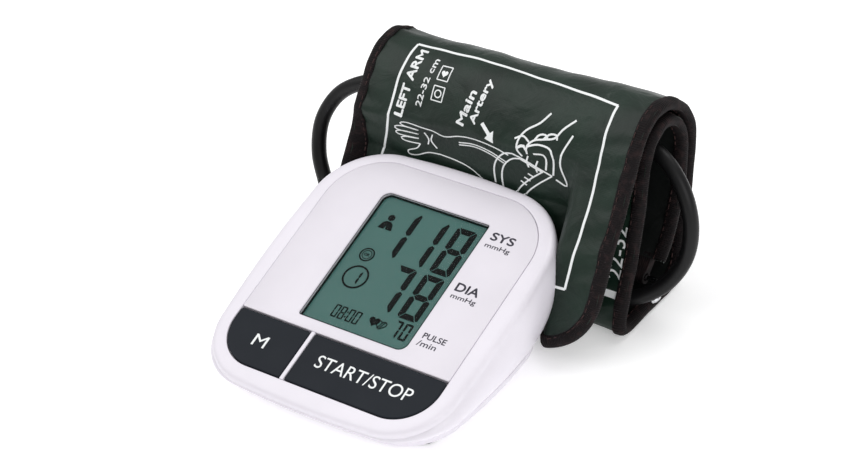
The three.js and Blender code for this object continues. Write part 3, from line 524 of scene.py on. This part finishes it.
def wall_ring(fraction, inset):
    """Ring part of the way from the parting line up to the rim, bowed outwards."""
    low = at_height(body_outline(BASE, inset), SPLIT)
    high = lifted(body_outline(RIM, inset), -RIM_DROP)
    centre = np.array([(BASE["left"] + BASE["right"]) / 2, (BASE["front"] + BASE["back"]) / 2])
    away = low[:, :2] - centre
    away /= np.linalg.norm(away, axis=1)[:, None]
    corner = (2 * np.abs(away[:, 0]) * np.maximum(away[:, 1], 0)) ** 2
    bulge = np.array(WALL_BULGE) + BACK_CORNER_BULGE * corner[:, None]
    ring = low + (high - low) * fraction
    ring[:, :2] += away * bulge * 4 * fraction * (1 - fraction)
    return ring


def top_housing():
    """Shell from its lower edge over the rim into the well, through the window and back down inside."""
    rings = [wall_ring(0, 0.5)]
    rings += [wall_ring(fraction, 0) for fraction in np.linspace(0.012, 1, 14)]
    rings += [lifted(body_outline(RIM, inset), depth) for inset, depth in RIM_ROLL]
    rings += [lifted(body_outline(WELL, inset, 0), depth) for inset, depth in WELL_EDGE]
    rings += [lifted(window_outline(1), -WELL_DEPTH), lifted(window_outline(1), CEILING)]
    rings += [lifted(body_outline(RIM, WALL + 3), CEILING)]
    rings += [lifted(body_outline(RIM, WALL + 0.4), -RIM_DROP - 2)]
    rings += [wall_ring(fraction, WALL) for fraction in (0.7, 0.35, 0)]
    points, size = shell(rings)
    made = piece("housing_top", points, loop_faces(*size, True), WHITE, MONITOR, 50)
    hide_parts("top_housing")


def face_panel():
    rings = [lifted(panel_outline(inset), depth) for inset, depth in PANEL_EDGE]
    rings += [lifted(window_outline(margin), depth) for margin, depth in PANEL_HOLE]
    points, size = shell(rings)
    made = piece("panel_plate", points, loop_faces(*size, True), PANEL_WHITE, MONITOR, 50)
    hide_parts("face_panel")


def key_divider():
    """White rib of the housing between the two keys."""
    half = KEYS["divider_width"] / 2
    left, right = KEYS["divider"] - half, KEYS["divider"] + half
    front, back = KEYS["bottom"] - 0.1, PANEL["bottom"] - 0.1
    rings = [lifted(outline(left + inset, right - inset, front, back, (0.2,) * 4), depth)
             for inset, depth in DIVIDER_EDGE]
    points, size = shell(rings)
    piece("key_divider", points, capped_faces(*size), WHITE, MONITOR, 50)


def key_cap(name, shape, post_x, body, node_name):
    """A flat key with a rolled edge and the post that presses its switch."""
    points, size = shell([lifted(shape(inset), depth) for inset, depth in KEY_EDGE])
    start = FACE @ Vector((post_x, KEY_POST["y"], KEY_POST["z"]))
    points, faces = gathered([(points, capped_faces(*size)), turned(POST, start, face_normal)])
    made = piece(name, points, faces, KEY_GREY, body, 50)
    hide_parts(node_name)


# ---- flat artwork

def cross_cut(work, spacing):
    """Cuts flat faces along a square grid, so that they can follow a curved surface."""
    for k, direction in enumerate(((1, 0, 0), (0, 1, 0))):
        places = [v.co[k] for v in work.verts]
        for i in range(1, int((max(places) - min(places)) / spacing) + 1):
            where = [0, 0, 0]
            where[k] = min(places) + i * spacing
            bmesh.ops.bisect_plane(work, geom=work.verts[:] + work.edges[:] + work.faces[:],
                                   plane_co=where, plane_no=direction, dist=1e-5)


def lettering(text, left, right, bottom, top, weight=0.0):
    """Flat letters that fill a rectangle. weight thickens them by overprinting shifted copies."""
    curve = bpy.data.curves.new("letters", "FONT")
    curve.body = text
    curve.resolution_u = 5
    carrier = linked("letters", curve)
    mesh = bpy.data.meshes.new_from_object(carrier.evaluated_get(bpy.context.evaluated_depsgraph_get()))
    points = np.array([v.co[:2] for v in mesh.vertices])
    faces = [tuple(p.vertices) for p in mesh.polygons]
    bpy.data.objects.remove(carrier)
    bpy.data.curves.remove(curve)
    bpy.data.meshes.remove(mesh)
    low, high = points.min(0), points.max(0)
    size = np.array([right - left, top - bottom]) - 2 * weight
    points = (points - low) / (high - low) * size + [left + weight, bottom + weight]
    shifts = [(weight, 0), (0, weight), (-weight, 0), (0, -weight)] if weight else [(0, 0)]
    return gathered([(points + shift, faces) for shift in shifts])


def stroke(points, width, smooth=True):
    """A line of even width through the points."""
    line = spline(points, 6) if smooth else np.asarray(points, float)
    line = resample(line, min(1.2, width * 2))
    ahead = np.gradient(line, axis=0)
    side = np.column_stack([-ahead[:, 1], ahead[:, 0]])
    side /= np.linalg.norm(side, axis=1)[:, None]
    both = np.vstack([line + side * width / 2, line - side * width / 2])
    return both, loop_faces(2, len(line), False)[:-1]


def circle(x, y, radius, count):
    angles = np.linspace(0, 2 * math.pi, count, endpoint=False)
    return np.column_stack([np.cos(angles), np.sin(angles)]) * radius + [x, y]


def round_stroke(x, y, radius, width, count=48):
    outer, inner = (circle(x, y, radius + side * width / 2, count) for side in (1, -1))
    return np.vstack([outer, inner]), loop_faces(2, count, False)


def polygon(points):
    return np.asarray(points, float), [tuple(range(len(points)))]


def slab(name, shapes, raise_to, bottom, top, material, body, slot, spacing=None):
    """Gives flat shapes a thickness. raise_to turns flat points and a height into points in metres."""
    points, faces = gathered(shapes)
    work = bmesh.new()
    verts = [work.verts.new((x, y, 0)) for x, y in points]
    for face in faces:
        work.faces.new([verts[i] for i in face])
    if spacing:
        cross_cut(work, spacing)
    work.verts.index_update()
    flat = np.array([v.co[:2] for v in work.verts])
    solid = [tuple(v.index for v in face.verts) for face in work.faces]
    rims = [[v.index for v in edge.verts] for edge in work.edges if edge.is_boundary]
    work.free()
    count = len(flat)
    solid += [tuple(i + count for i in reversed(face)) for face in solid]
    solid += [(a, b, b + count, a + count) for a, b in rims]
    return piece(name, np.vstack([raise_to(flat, top), raise_to(flat, bottom)]), solid, material, body)


def on_face(points, height):
    return to_metres(np.column_stack([points, np.full(len(points), height)]), FACE)


# ---- display and prints

SEGMENTS = {"0": "abcdef", "1": "bc", "7": "abc", "8": "abcdefg"}


def segment_digit(digit, left, bottom, width, height, bar):
    """One seven-segment digit: mitred bars round the outside and a pointed bar across the middle."""
    half, nick, clip, middle = bar / 2, bar * 0.1, bar * 0.3, height / 2
    rising = [(0, nick + clip), (clip, nick), (bar, bar + nick), (bar, middle - half - nick),
              (half, middle - nick), (0, middle - nick - half * 0.6)]
    lower = [(clip + nick, 0), (width - clip - nick, 0), (width - bar - nick, bar), (bar + nick, bar)]
    across = [(half + nick, middle), (bar + nick, middle - half), (width - bar - nick, middle - half),
              (width - half - nick, middle), (width - bar - nick, middle + half), (bar + nick, middle + half)]
    bars = {
        "a": [(x, height - y) for x, y in lower], "d": lower, "g": across,
        "e": rising, "c": [(width - x, y) for x, y in rising],
        "f": [(x, height - y) for x, y in rising], "b": [(width - x, height - y) for x, y in rising],
    }
    return [polygon([(left + x, bottom + y) for x, y in bars[name]]) for name in SEGMENTS[digit]]


def number(text, right, bottom, width, height, bar, pitch):
    shapes = []
    for i, digit in enumerate(reversed(text)):
        shapes += segment_digit(digit, right - width - i * pitch, bottom, width, height, bar)
    return shapes


def heart(x, y, size):
    """Closed heart outline about its centre."""
    t = np.linspace(0, 2 * math.pi, 40, endpoint=False)
    across = 16 * np.sin(t) ** 3
    up = 13 * np.cos(t) - 5 * np.cos(2 * t) - 2 * np.cos(3 * t) - np.cos(4 * t)
    return (np.column_stack([across, up]) * size / 32 + [x, y]).tolist()


def display():
    shapes = number("118", 22.6, 5.2, 9.8, 23.8, 2.7, 13.5)
    shapes += number("78", 22.3, -18.8, 9.8, 22.6, 2.7, 13.4)
    shapes += number("70", 22.4, -28.3, 3.5, 8.2, 0.95, 4.7)
    for text, right in (("08", -8.4), ("00", -1.2)):
        shapes += number(text, right, -28.6, 2.6, 6.2, 0.62, 3.2)
    shapes += [round_stroke(-7.7, y, 0.2, 0.4, 12) for y in (-24.4, -26.8)]
    shapes += [round_stroke(-16.4, 3.2, 3.1, 0.65), round_stroke(-16.4, 3.2, 2.1, 0.35),
               round_stroke(-14.7, -8.2, 5.4, 0.85)]
    shapes += segment_digit("1", -15.2, -11.4, 2.6, 6.4, 0.95)
    shapes += [polygon(circle(-16.9, 23.1, 1.6, 24))]
    shapes += [polygon([(-20.2, 17), (-17.3, 17), (-16.9, 19.2), (-16.5, 17), (-13.4, 17), (-14.4, 20),
                        (-15.8, 21.1), (-18, 21.1), (-19.4, 20)])]
    open_heart = heart(8.9, -24.7, 4.8)
    shapes += [polygon(heart(5.3, -24.2, 5.1)), stroke(open_heart + open_heart[:1], 0.5)]
    shapes += [stroke([(8.3 + k, -26.6 + k * 0.4), (9.5 + k, -23.4 + k * 0.4)], 0.45, False)
               for k in (-0.4, 0.7)]
    shapes += [lettering("OK", -17.8, -15.0, 2.5, 3.9, 0.08)]
    slab("lcd_segments", shapes, on_face, GLASS_DEPTH, GLASS_DEPTH + 0.08, SEGMENT, MONITOR, "glass")
    # Painted shade: two dark bands of segment material round the window's edge stand in for the shadow inside
    # the display's recess, one at the liquid crystal and a thin one just under the window's surface.
    painted_shade_bands = (("lcd_edge_painted_shade", 0.7, GLASS_DEPTH, 0.12), ("window_edge_painted_shade", 0.25, -0.31, 0.04))
    for name, width, low, thickness in painted_shade_bands:
        outer, inner = window_outline(-0.04), window_outline(-0.04 - width)
        border = (np.vstack([outer, inner]), loop_faces(2, len(outer), False))
        slab(name, [border], on_face, low, low + thickness, SEGMENT, MONITOR, "glass")


def labels():
    """Plain words and units beside the display, and the keys' names."""
    units = [
        ("SYS", 29.6, 40.8, 26.9, 31, 0.16), ("mmHg", 29.4, 41.2, 22.5, 25.3, 0.05),
        ("DIA", 29.3, 40.4, -0.2, 4, 0.16), ("mmHg", 29.6, 41.4, -4.4, -1.5, 0.05),
        ("PULSE", 29.5, 40.4, -24.9, -22.1, 0.07), ("/min", 29, 38, -28.6, -25.9, 0.05),
    ]
    for name, words, material, body, slot in (
        ("panel_labels", units, PRINT_GREY, MONITOR, "key"),
        ("memory_label", [("M", -36.4, -30, -53.7, -48.2)], PRINT_WHITE, "memory_button", "white"),
        ("start_label", [("START/STOP", -5.1, 41, -53.2, -47.2)], PRINT_WHITE, "start_button", "white"),
    ):
        slab(name, [lettering(*word) for word in words], on_face, -0.02, 0.04, material, body, slot)


# ---- cuff surface

def measured(points):
    """A dense line, the share of its length up to each of its points, and its length."""
    line = spline(points, 24)
    along = lengths(line)
    return line, along / along[-1], along[-1]


def left_roll():
    """The middle line at the left end: the right end's, with some points moved."""
    shifted = []
    for i, (y, z) in enumerate(ROLL_RIGHT):
        dy, dz = OUTER_SHIFT[i] if i < len(OUTER_SHIFT) else INNER_SHIFT.get(i, (0, 0))
        shifted.append((y + dy, z + dz))
    return shifted


RIGHT_LINE, RIGHT_SHARE, BAND_LENGTH = measured(ROLL_RIGHT)
LEFT_LINE, LEFT_SHARE = measured(left_roll())[:2]
HALF_WIDTH = CUFF["width"] / 2 - CUFF["binding"]


def smoothstep(value, low, high):
    t = np.clip((value - low) / (high - low), 0, 1)
    return t * t * (3 - 2 * t)


def band_inside(distance, x):
    along = np.clip(distance / BAND_LENGTH, 0, 1)
    share = np.clip((x - CUFF["centre"]) / CUFF["width"] + 0.5, 0, 1)
    y, z = (
        np.interp(along, LEFT_SHARE, LEFT_LINE[:, k]) * (1 - share)
        + np.interp(along, RIGHT_SHARE, RIGHT_LINE[:, k]) * share
        for k in (0, 1)
    )
    rest = 1 - smoothstep(np.abs(x), REST_FROM, FREE_FROM)
    behind = BACK_REST["low"] + BACK_REST["rise"] * np.minimum(z / BACK_REST["height"], 1)
    y = y + np.where(distance < FLAP_REACH, rest * np.maximum(0, behind - y), 0)
    beside = smoothstep(distance, *INNER_TURN["rise"]) * (1 - smoothstep(distance, *INNER_TURN["fall"]))
    y = y + INNER_TURN["push"] * beside * rest
    return np.stack([x + 0 * y, y, z], axis=-1)


def band(distance, x):
    """Middle surface of the rolled cloth. distance runs from the flap's free end; x is across."""
    distance, x = np.broadcast_arrays(np.asarray(distance, float), np.asarray(x, float))
    point = band_inside(distance, x)
    before = np.minimum(distance, 0)[..., None]
    at_two, at_zero = (band_inside(np.full_like(distance, start), x) for start in (2, 0))
    return point + (at_two - at_zero) / 2 * before


def band_normal(distance, x, step=0.8):
    along = band(distance + step, x) - band(distance - step, x)
    across = band(distance, x + step) - band(distance, x - step)
    normal = np.cross(across, along)
    return normal / np.linalg.norm(normal, axis=-1)[..., None]


def half_width(distance):
    """Half the cloth's width, less in the rounded corners of the flap's free end."""
    rest = np.maximum(CUFF["tip_radius"] - distance, 0)
    return HALF_WIDTH - CUFF["tip_radius"] + np.sqrt(np.maximum(CUFF["tip_radius"] ** 2 - rest ** 2, 0))


def folds(distance, x):
    """Height of the cloth's soft waves, and of the puckers that the binding draws in along the edges."""
    inwards = np.maximum(half_width(np.maximum(distance, 0.5)) - np.abs(x - CUFF["centre"]), 0)
    hand = np.sign(x - CUFF["centre"])
    phase = 0.58 * distance + 2.1 * np.sin(distance / 15 + hand) + 1.7 * hand
    depth = 0.4 + 0.2 * np.sin(distance / 7.3 + 2 * hand)
    fade = (1 - np.exp(-inwards / 2.5)) * 1.5 * np.exp(-inwards / 9)
    pucker = depth * fade * np.sin(phase + 0.16 * inwards)
    broad = np.sin(distance / 12.5 + 1.6 * np.sin(x / 27)) * np.cos(x / 19 + 0.8 * np.sin(distance / 29))
    small = np.sin(distance / 4.1 + 1.9 * np.sin(x / 8)) * np.sin(x / 5.3 + 1.3 * np.sin(distance / 9))
    return pucker + (0.75 * broad + 0.24 * small) * (1 - np.exp(-inwards / 9))


OUTSIDE = CUFF["face"] + CUFF["skin"]
# Least height over the table, so that nothing sinks into it.
FLOOR_GAP = {"cloth": 0.35, "binding": 0.2, "stitch": 0.15}
BINDING_FOLLOWS = 0.35


def raised(distance, x, lift):
    """Points at a height over the band's middle."""
    return band(distance, x) + band_normal(distance, x) * np.asarray(lift)[..., None]


def over_floor(points, gap):
    """The points in metres, kept over the table."""
    points = points.reshape(-1, 3).copy()
    points[:, 2] = np.maximum(points[:, 2], FLOOR_GAP[gap])
    return to_metres(points, UPRIGHT)


def on_cloth(points, height):
    """Flat artwork, as (across, distance), on the cover's outer surface."""
    x, distance = points[:, 0], points[:, 1]
    return to_metres(raised(distance, x, OUTSIDE + folds(distance, x) + height), UPRIGHT)


def cloth_rows(step):
    """Distances of the cloth's rows of points, closer together at the flap's rounded end."""
    corner = CUFF["tip_radius"]
    near = 0.5 + (corner - 0.5) * (np.arange(26) / 26) ** 2
    return np.concatenate([near, np.linspace(corner, BAND_LENGTH, int((BAND_LENGTH - corner) / step))])


def cloth_piece(name, low, high, step, columns, material, replaced):
    """One closed layer of the band between two offsets from its middle."""
    distance, share = np.meshgrid(cloth_rows(step), np.linspace(-1, 1, columns), indexing="ij")
    x = CUFF["centre"] + share * half_width(distance)
    wave = folds(distance, x)
    points = np.stack([raised(distance, x, offset + wave) for offset in (high, low)])
    count = distance.size
    index = np.arange(count).reshape(distance.shape)
    corners = (index[:-1, :-1], index[:-1, 1:], index[1:, 1:], index[1:, :-1])
    quads = np.stack(corners, axis=-1).reshape(-1, 4)
    faces = quads.tolist() + (quads[:, ::-1] + count).tolist()
    border = [*index[0], *index[1:, -1], *index[-1, -2::-1], *index[-2:0:-1, 0]]
    faces += [(a, b, count + b, count + a) for a, b in zip(border, border[1:] + border[:1])]
    flat = np.column_stack([x.ravel(), distance.ravel()]) * MM
    made = piece(name, over_floor(points, "cloth"), faces, material, MONITOR, 60, np.tile(flat, (2, 1)))
    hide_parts(replaced)
    return made


def edge_stations(step):
    """Rows of distance, x and the inward direction in the cloth, from the left end of the inner turn
    round the flap's free end to the right end."""
    radius, centre = CUFF["tip_radius"], CUFF["centre"]
    side = np.linspace(BAND_LENGTH - 0.5, radius, int((BAND_LENGTH - radius) / step))[:-1]
    turn = np.linspace(0, math.pi / 2, int(radius * 1.57 / step))[:-1]
    inner = HALF_WIDTH - radius
    tip = np.linspace(-inner, inner, int(2 * inner / step))[:-1]

    def corner(middle, start):
        return [(radius - radius * math.sin(a), middle - radius * math.cos(a), math.sin(a), math.cos(a))
                for a in start + turn]

    rows = [(d, centre - HALF_WIDTH, 0, 1) for d in side]
    rows += corner(centre - inner, 0)
    rows += [(0, centre + x, 1, 0) for x in tip]
    rows += corner(centre + inner, math.pi / 2)
    rows += [(d, centre + HALF_WIDTH, 0, -1) for d in side[::-1]]
    return np.array(rows)


BINDING_SECTION = [
    (4.3, 1.9), (4.1, 2.3), (3.2, 2.5), (1.6, 2.48), (0.3, 2.1), (-0.6, 1.4), (-1.0, 0.5), (-1.0, -0.5),
    (-0.6, -1.4), (0.3, -2.1), (1.6, -2.48), (3.2, -2.5), (4.1, -2.3), (4.3, -1.9),
    (4.2, -1.5), (1.4, -1.6), (0.5, -0.8), (0.5, 0.8), (1.4, 1.6), (4.2, 1.5),
]


def binding():
    """Tape folded over the edge, slightly gathered."""
    stations = edge_stations(1.0)
    count = len(BINDING_SECTION)
    run = lengths(stations[:, :2])
    gather = 1 + 0.07 * np.sin(run / 1.9 + 1.5 * np.sin(run / 17)) + 0.05 * np.sin(run / 5.9)
    drift = 0.25 * np.sin(run / 4.3 + 1.2 * np.sin(run / 13))
    rings = []
    for u, v in BINDING_SECTION:
        inwards = u + (drift if u > 1 else 0.4 * drift)
        distance = stations[:, 0] + inwards * stations[:, 2]
        x = stations[:, 1] + inwards * stations[:, 3]
        rings.append(raised(distance, x, v * gather + BINDING_FOLLOWS * folds(distance, x)))
    points = over_floor(np.stack(rings, axis=1), "binding")
    girth = lengths(np.array(BINDING_SECTION))
    flat = np.column_stack([np.repeat(run, count), np.tile(girth, len(run))]) * MM
    made = piece("edge_binding", points, capped_faces(len(run), count), BINDING, MONITOR, 60, flat)
    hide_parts("cuff_binding")
    return made


STITCH = {"pitch": 3.2, "half_length": 1.1, "half_width": 0.22, "inset": 3.2, "height": 2.35, "rise": 0.32}
STITCH_SECTIONS = ((1, 1, 0), (0.6, 0.5, STITCH["rise"]))


def binding_stitches():
    """Short raised stitches along the tape on both faces."""
    stations = edge_stations(STITCH["pitch"])
    inwards = stations[:, 2:]
    middle = stations[:, :2] + STITCH["inset"] * inwards
    ahead = np.column_stack([-stations[:, 3], stations[:, 2]])
    shapes = []
    for face in (1, -1):
        corners = []
        for length, width, rise in STITCH_SECTIONS:
            for along, across in ((-1, -1), (-1, 1), (1, 1), (1, -1)):
                spot = middle + ahead * along * length * STITCH["half_length"]
                spot = spot + inwards * across * width * STITCH["half_width"]
                lift = face * (STITCH["height"] + rise) + BINDING_FOLLOWS * folds(spot[:, 0], spot[:, 1])
                corners.append(raised(spot[:, 0], spot[:, 1], lift))
        shapes += [(block, capped_faces(2, 4)) for block in np.stack(corners, axis=1)]
    points, faces = gathered(shapes)
    return piece("binding_stitches", over_floor(points, "stitch"), faces, THREAD, MONITOR, 60)


def along_cloth(text, start, end, rise, weight=0.0):
    """Letters that run from start to end on the cloth, each given as (across, distance)."""
    start, end = np.array(start, float), np.array(end, float)
    length = np.linalg.norm(end - start)
    ahead = (end - start) / length
    up = np.array([-ahead[1], ahead[0]])
    points, faces = lettering(text, 0, length, 0, rise, weight)
    return start + points[:, :1] * ahead + points[:, 1:] * up, faces


# The print's lower and upper side over the cloth, and the grid that lets it follow the cloth.
PRINT_LAYER = (-0.1, 0.13)
PRINT_GRID = 1.6


def cuff_print():
    """White frame, plain words and a line drawing of an arm in a cuff, as (across, distance)."""
    frame_line = [(-37.4, 105.6), (-37.6, 97), (-37.9, 87), (-38, 76), (-39.6, 64), (-42.8, 47), (-46, 17),
                  (-10, 19), (30, 24), (65.2, 26.6), (65.7, 38), (66.2, 49), (66.2, 60), (65.8, 71),
                  (65.2, 82), (64.6, 91.5), (64.1, 102.2), (34, 104.4), (2, 105.6), (-37.4, 105.6)]
    corners = [0, 6, 9, 16, 19]
    shapes = [stroke(frame_line[a:b + 1], 1.05) for a, b in zip(corners, corners[1:])]
    fingers = [
        [(-21, 71.2), (-30.8, 71.7), (-32.6, 70.5), (-31, 69.3), (-23.5, 68.8)],
        [(-23.5, 68.8), (-33.8, 68.5), (-35.6, 67.2), (-34, 66), (-23.5, 66.3)],
        [(-23.5, 66.3), (-33.8, 65.4), (-35.3, 64.2), (-33.8, 63.1), (-23.5, 63.7)],
        [(-23.5, 63.7), (-31.4, 62.2), (-32.7, 61.1), (-31.2, 60), (-22.8, 60.6)],
        [(-22.8, 60.6), (-24.6, 57.2), (-29.4, 53.8), (-29, 51.8), (-25, 52.4), (-19, 56), (-13, 57)],
    ]
    forearm = [
        [(-21, 71.2), (-16, 70.8), (-11, 69.2), (-3, 72.2), (6, 73.8), (16, 72), (22, 70)],
        [(-13, 57), (-6, 56), (2, 53.4), (9, 48)],
        [(-3, 68.4), (6, 70.2), (14, 68.6), (20.5, 65.6)],
        [(-3, 67), (6, 68.7), (13.6, 67.2), (19.6, 64.4)],
        [(-20.5, 68.3), (-18.6, 64.8), (-19, 61.4)],
        [(-16.5, 68.2), (-17.4, 64.2), (-14.6, 60.2)],
    ]
    drawn_cuff = [
        [(14.6, 50), (14.2, 59), (16.4, 66), (20.5, 70.8), (24, 71.6)],
        [(18.4, 47), (18, 57), (20, 64), (24, 68.6), (27.5, 69.6)],
        [(24, 71.6), (33, 68.2), (42.6, 64.4)],
        [(42.6, 64.4), (36.5, 58), (31, 51), (27.6, 44)],
        [(38.6, 66), (32.4, 59.4), (27.4, 52.6), (24, 45.6)],
        [(31, 62), (34, 60.6)], [(29, 59), (32, 57.6)], [(27.2, 56), (30.2, 54.4)],
        [(27.6, 69.4), (34, 66.8), (38.4, 65.2)], [(31.6, 66), (30.6, 69), (31.4, 72.4)],
        [(35.6, 64.4), (35, 67.4), (36, 71)],
    ]
    gripping_hand = [
        [(24.6, 78.4), (28.2, 80.4), (31.4, 78.6)], [(26, 75.4), (29.4, 76.6), (31, 74.6)],
        [(33.6, 80), (35.4, 82.6), (38.4, 83.2), (39.6, 81.6)],
        [(37.4, 81.2), (40.2, 84), (43.4, 84.2), (43.8, 82.4)],
        [(38, 92), (34.6, 87.4), (29, 83), (26.6, 79), (26.4, 74.6), (28.6, 71.4)],
        [(50, 92), (45.4, 87), (42.6, 83), (37.4, 81.2), (33.4, 79.8), (30.8, 76.6), (31, 73.4)],
        [(31, 76.8), (36, 78.6), (41.6, 78), (43.4, 75), (43.2, 65)],
        [(34, 74.4), (38.8, 75.2), (40, 73.4), (39.8, 67)],
        [(50.6, 86), (47.8, 79), (46.8, 71.6), (49.6, 60.8), (44.4, 63)],
    ]
    for lines, width in ((fingers, 0.6), (forearm, 0.6), (drawn_cuff, 0.75), (gripping_hand, 0.8)):
        shapes += [stroke(line, width) for line in lines]
    shapes += [stroke([(8, 80.6), (12.8, 76.4)], 1.6, False)]
    shapes += [polygon([(14.8, 74.6), (14, 78.8), (10.8, 75.3)])]
    words = [
        ("LEFT ARM", (-31.3, 73.4), (-29.8, 103.2), 4.3, 0.2),
        ("22-32 cm", (-23.6, 79.6), (-22.2, 100.6), 2.9, 0.07),
        ("Main", (-0.8, 76.8), (2, 91.8), 4.2, 0.2),
        ("Artery", (5.8, 78.8), (8.4, 97.8), 4.5, 0.17),
    ]
    shapes += [along_cloth(*word) for word in words]
    for low in (84, 92.6):
        square = [(-19.6, low), (-14.2, low), (-14.2, low + 6), (-19.6, low + 6), (-19.6, low)]
        shapes += [stroke(square[k:k + 2], 0.45, False) for k in range(4)]
    shapes += [round_stroke(-16.9, 87, 1.5, 0.5), polygon(heart(-16.9, 95.5, 3.2))]
    slab("cuff_print", shapes, on_cloth, *PRINT_LAYER, PRINT_WHITE, MONITOR, "white", PRINT_GRID)


def second_layer_print():
    """Range mark and bar on the turn below, seen past the flap's edge."""
    shapes = [polygon([(67, 262.6), (77, 262.6), (77, 265.6), (67, 265.6)])]
    shapes += [along_cloth("22-32", (76.8, 270.5), (76.4, 293), 6.3)]
    slab("range_print", shapes, on_cloth, *PRINT_LAYER, PRINT_WHITE, MONITOR, "white", PRINT_GRID)


def ring_loop():
    """The cloth's inner end folded round the ring's bar and sewn to itself."""
    axis, end = np.array(SEWN_LOOP["axis"]), band(BAND_LENGTH, CUFF["centre"])[1:]
    away = np.linalg.norm(end - axis)
    towards = (end - axis) / away
    side = np.array([-towards[1], towards[0]])

    def open_ring(radius, start, reach, half_gap):
        """Points round the axis that open towards the cloth and run on to the reach."""
        angles = np.linspace(start, 2 * math.pi - start, 30)
        ring = [axis + radius * (towards * math.cos(a) + side * math.sin(a)) for a in angles]
        return ring + [axis + towards * reach + side * gap for gap in (-half_gap, half_gap)]

    radius, bore, gap = SEWN_LOOP["radius"], SEWN_LOOP["bore"], SEWN_LOOP["half_gap"]
    loop = open_ring(radius, math.asin(gap / radius), away + 2, gap)
    hole = open_ring(bore, math.pi * 0.06, bore + 0.25, 0.3)
    left, right = (CUFF["centre"] + sign * SEWN_LOOP["half_width"] for sign in (-1, 1))
    rings = ((loop, left), (loop, right), (hole, right), (hole, left))
    points = [(x, y, z) for ring, x in rings for y, z in ring]
    flat = np.array(points)[:, [0, 2]] * MM
    made = piece("ring_loop", to_metres(points, UPRIGHT), loop_faces(4, len(loop), True), BINDING, MONITOR,
                 50, flat)
    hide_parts("ring_sleeve")


# ---- hose and plug

def plug():
    """Elbow plug with a collar, and a tail with ribs that grips the hose."""
    barrel = [(0, 3.4), (0.5, 4.2), (1.4, 4.6), (7.4, 4.6), (7.9, 4.3), (8.2, 4.3),
              (8.6, 4.7), (9.8, 4.7), (10.1, 4.2)]
    nozzle = [(0, 2.3), (13.4, 2.3), (14.6, 1.9)]
    tail = [(0, 4.5), (2.2, 4.55)]
    for k in range(PLUG["ribs"]):
        at, outer = 3.2 + k * PLUG["rib_pitch"], 4.5 - 0.09 * k
        tail += [(at, outer - 0.45), (at + 0.5, outer - 0.45), (at + 0.6, outer), (at + 1.3, outer)]
    tail += [(12.9, 3.9), (13, 3.6)]
    arms = ((barrel, "barrel_x", (1, 0, 0)), (nozzle, "nozzle_x", (1, 0, 0)), (tail, "tail_x", (0, 1, 0)))
    points, faces = gathered([
        turned(profile, UPRIGHT @ Vector((PLUG[x], PLUG["y"], PLUG["z"])), axis) for profile, x, axis in arms
    ])
    made = piece("hose_plug", points, faces, RUBBER, MONITOR, 40)
    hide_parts("air_plug")
    return made


def hose(plug_piece):
    """The hose along its route, from the plug to the port on the cuff."""
    line = to_metres(spline(HOSE_PATH, 8), UPRIGHT)
    curve = bpy.data.curves.new("rubber_hose", "CURVE")
    curve.dimensions = "3D"
    curve.bevel_depth = HOSE_DIAMETER / 2 * MM
    curve.bevel_resolution = 6
    curve.use_fill_caps = True
    track = curve.splines.new("POLY")
    track.points.add(len(line) - 1)
    track.points.foreach_set("co", np.column_stack([line, np.ones(len(line))]).ravel())
    track.use_smooth = True
    curve.materials.append(HOSE)
    made = linked("rubber_hose", curve)
    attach(made, MONITOR)
    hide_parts("air_hose")


# ---- studio

FLOOR_HALF = 6
LIGHT_AIM = Vector((0, 0, 0.04))
# Name, place, width in metres and power in watts.
LIGHTS = [
    ("key_light", (-0.75, -0.35, 1.2), 1.5, 10.6),
    ("fill_light", (1.1, -0.5, 0.7), 0.8, 5),
    ("top_light", (0.15, 0.8, 1.3), 0.9, 8),
]


def studio():
    """Plain pale floor and world, with three soft lamps."""
    plane = bpy.data.meshes.new("floor")
    corners = [(x * FLOOR_HALF, y * FLOOR_HALF, 0) for x, y in ((-1, -1), (1, -1), (1, 1), (-1, 1))]
    plane.from_pydata(corners, [], [(0, 1, 2, 3)])
    plane.materials.append(grained("floor_paper", (0.93, 0.93, 0.935), 0.85, strength=0.02, spread=0.004,
                                   Emission_Color=(1, 1, 1, 1), Emission_Strength=0.32))
    linked("floor", plane)
    for name, place, width, power in LIGHTS:
        data = bpy.data.lights.new(name, "AREA")
        data.size = width
        data.energy = power
        lamp = linked(name, data)
        lamp.location = place
        lamp.rotation_mode = "QUATERNION"
        lamp.rotation_quaternion = (LIGHT_AIM - Vector(place)).to_track_quat("-Z", "Y")
    world = bpy.data.worlds.new("pale_room")
    world.use_nodes = True
    background = world.node_tree.nodes["Background"]
    background.inputs["Color"].default_value = (1, 1, 1, 1)
    background.inputs["Strength"].default_value = 0.42
    bpy.context.scene.world = world
    bpy.context.scene.view_settings.view_transform = "Standard"


# ---- assembly

make_camera()
dress_cad_nodes()
hose(plug())
top_housing()
face_panel()
key_divider()
key_cap("key_memory", memory_outline, KEY_POST["memory"], "memory_button", "memory_key")
key_cap("key_start", start_outline, KEY_POST["start"], "start_button", "start_key")
display()
labels()
cover = cloth_piece("cuff_outer", CUFF["face"], OUTSIDE, 1.7, 121, CLOTH, "cuff_cover")
inner = cloth_piece("cuff_inner", -OUTSIDE, -CUFF["face"], 2.6, 61, LINING, "cuff_lining")
tape = binding()
stitches = binding_stitches()
cuff_print()
second_layer_print()
ring_loop()
studio()
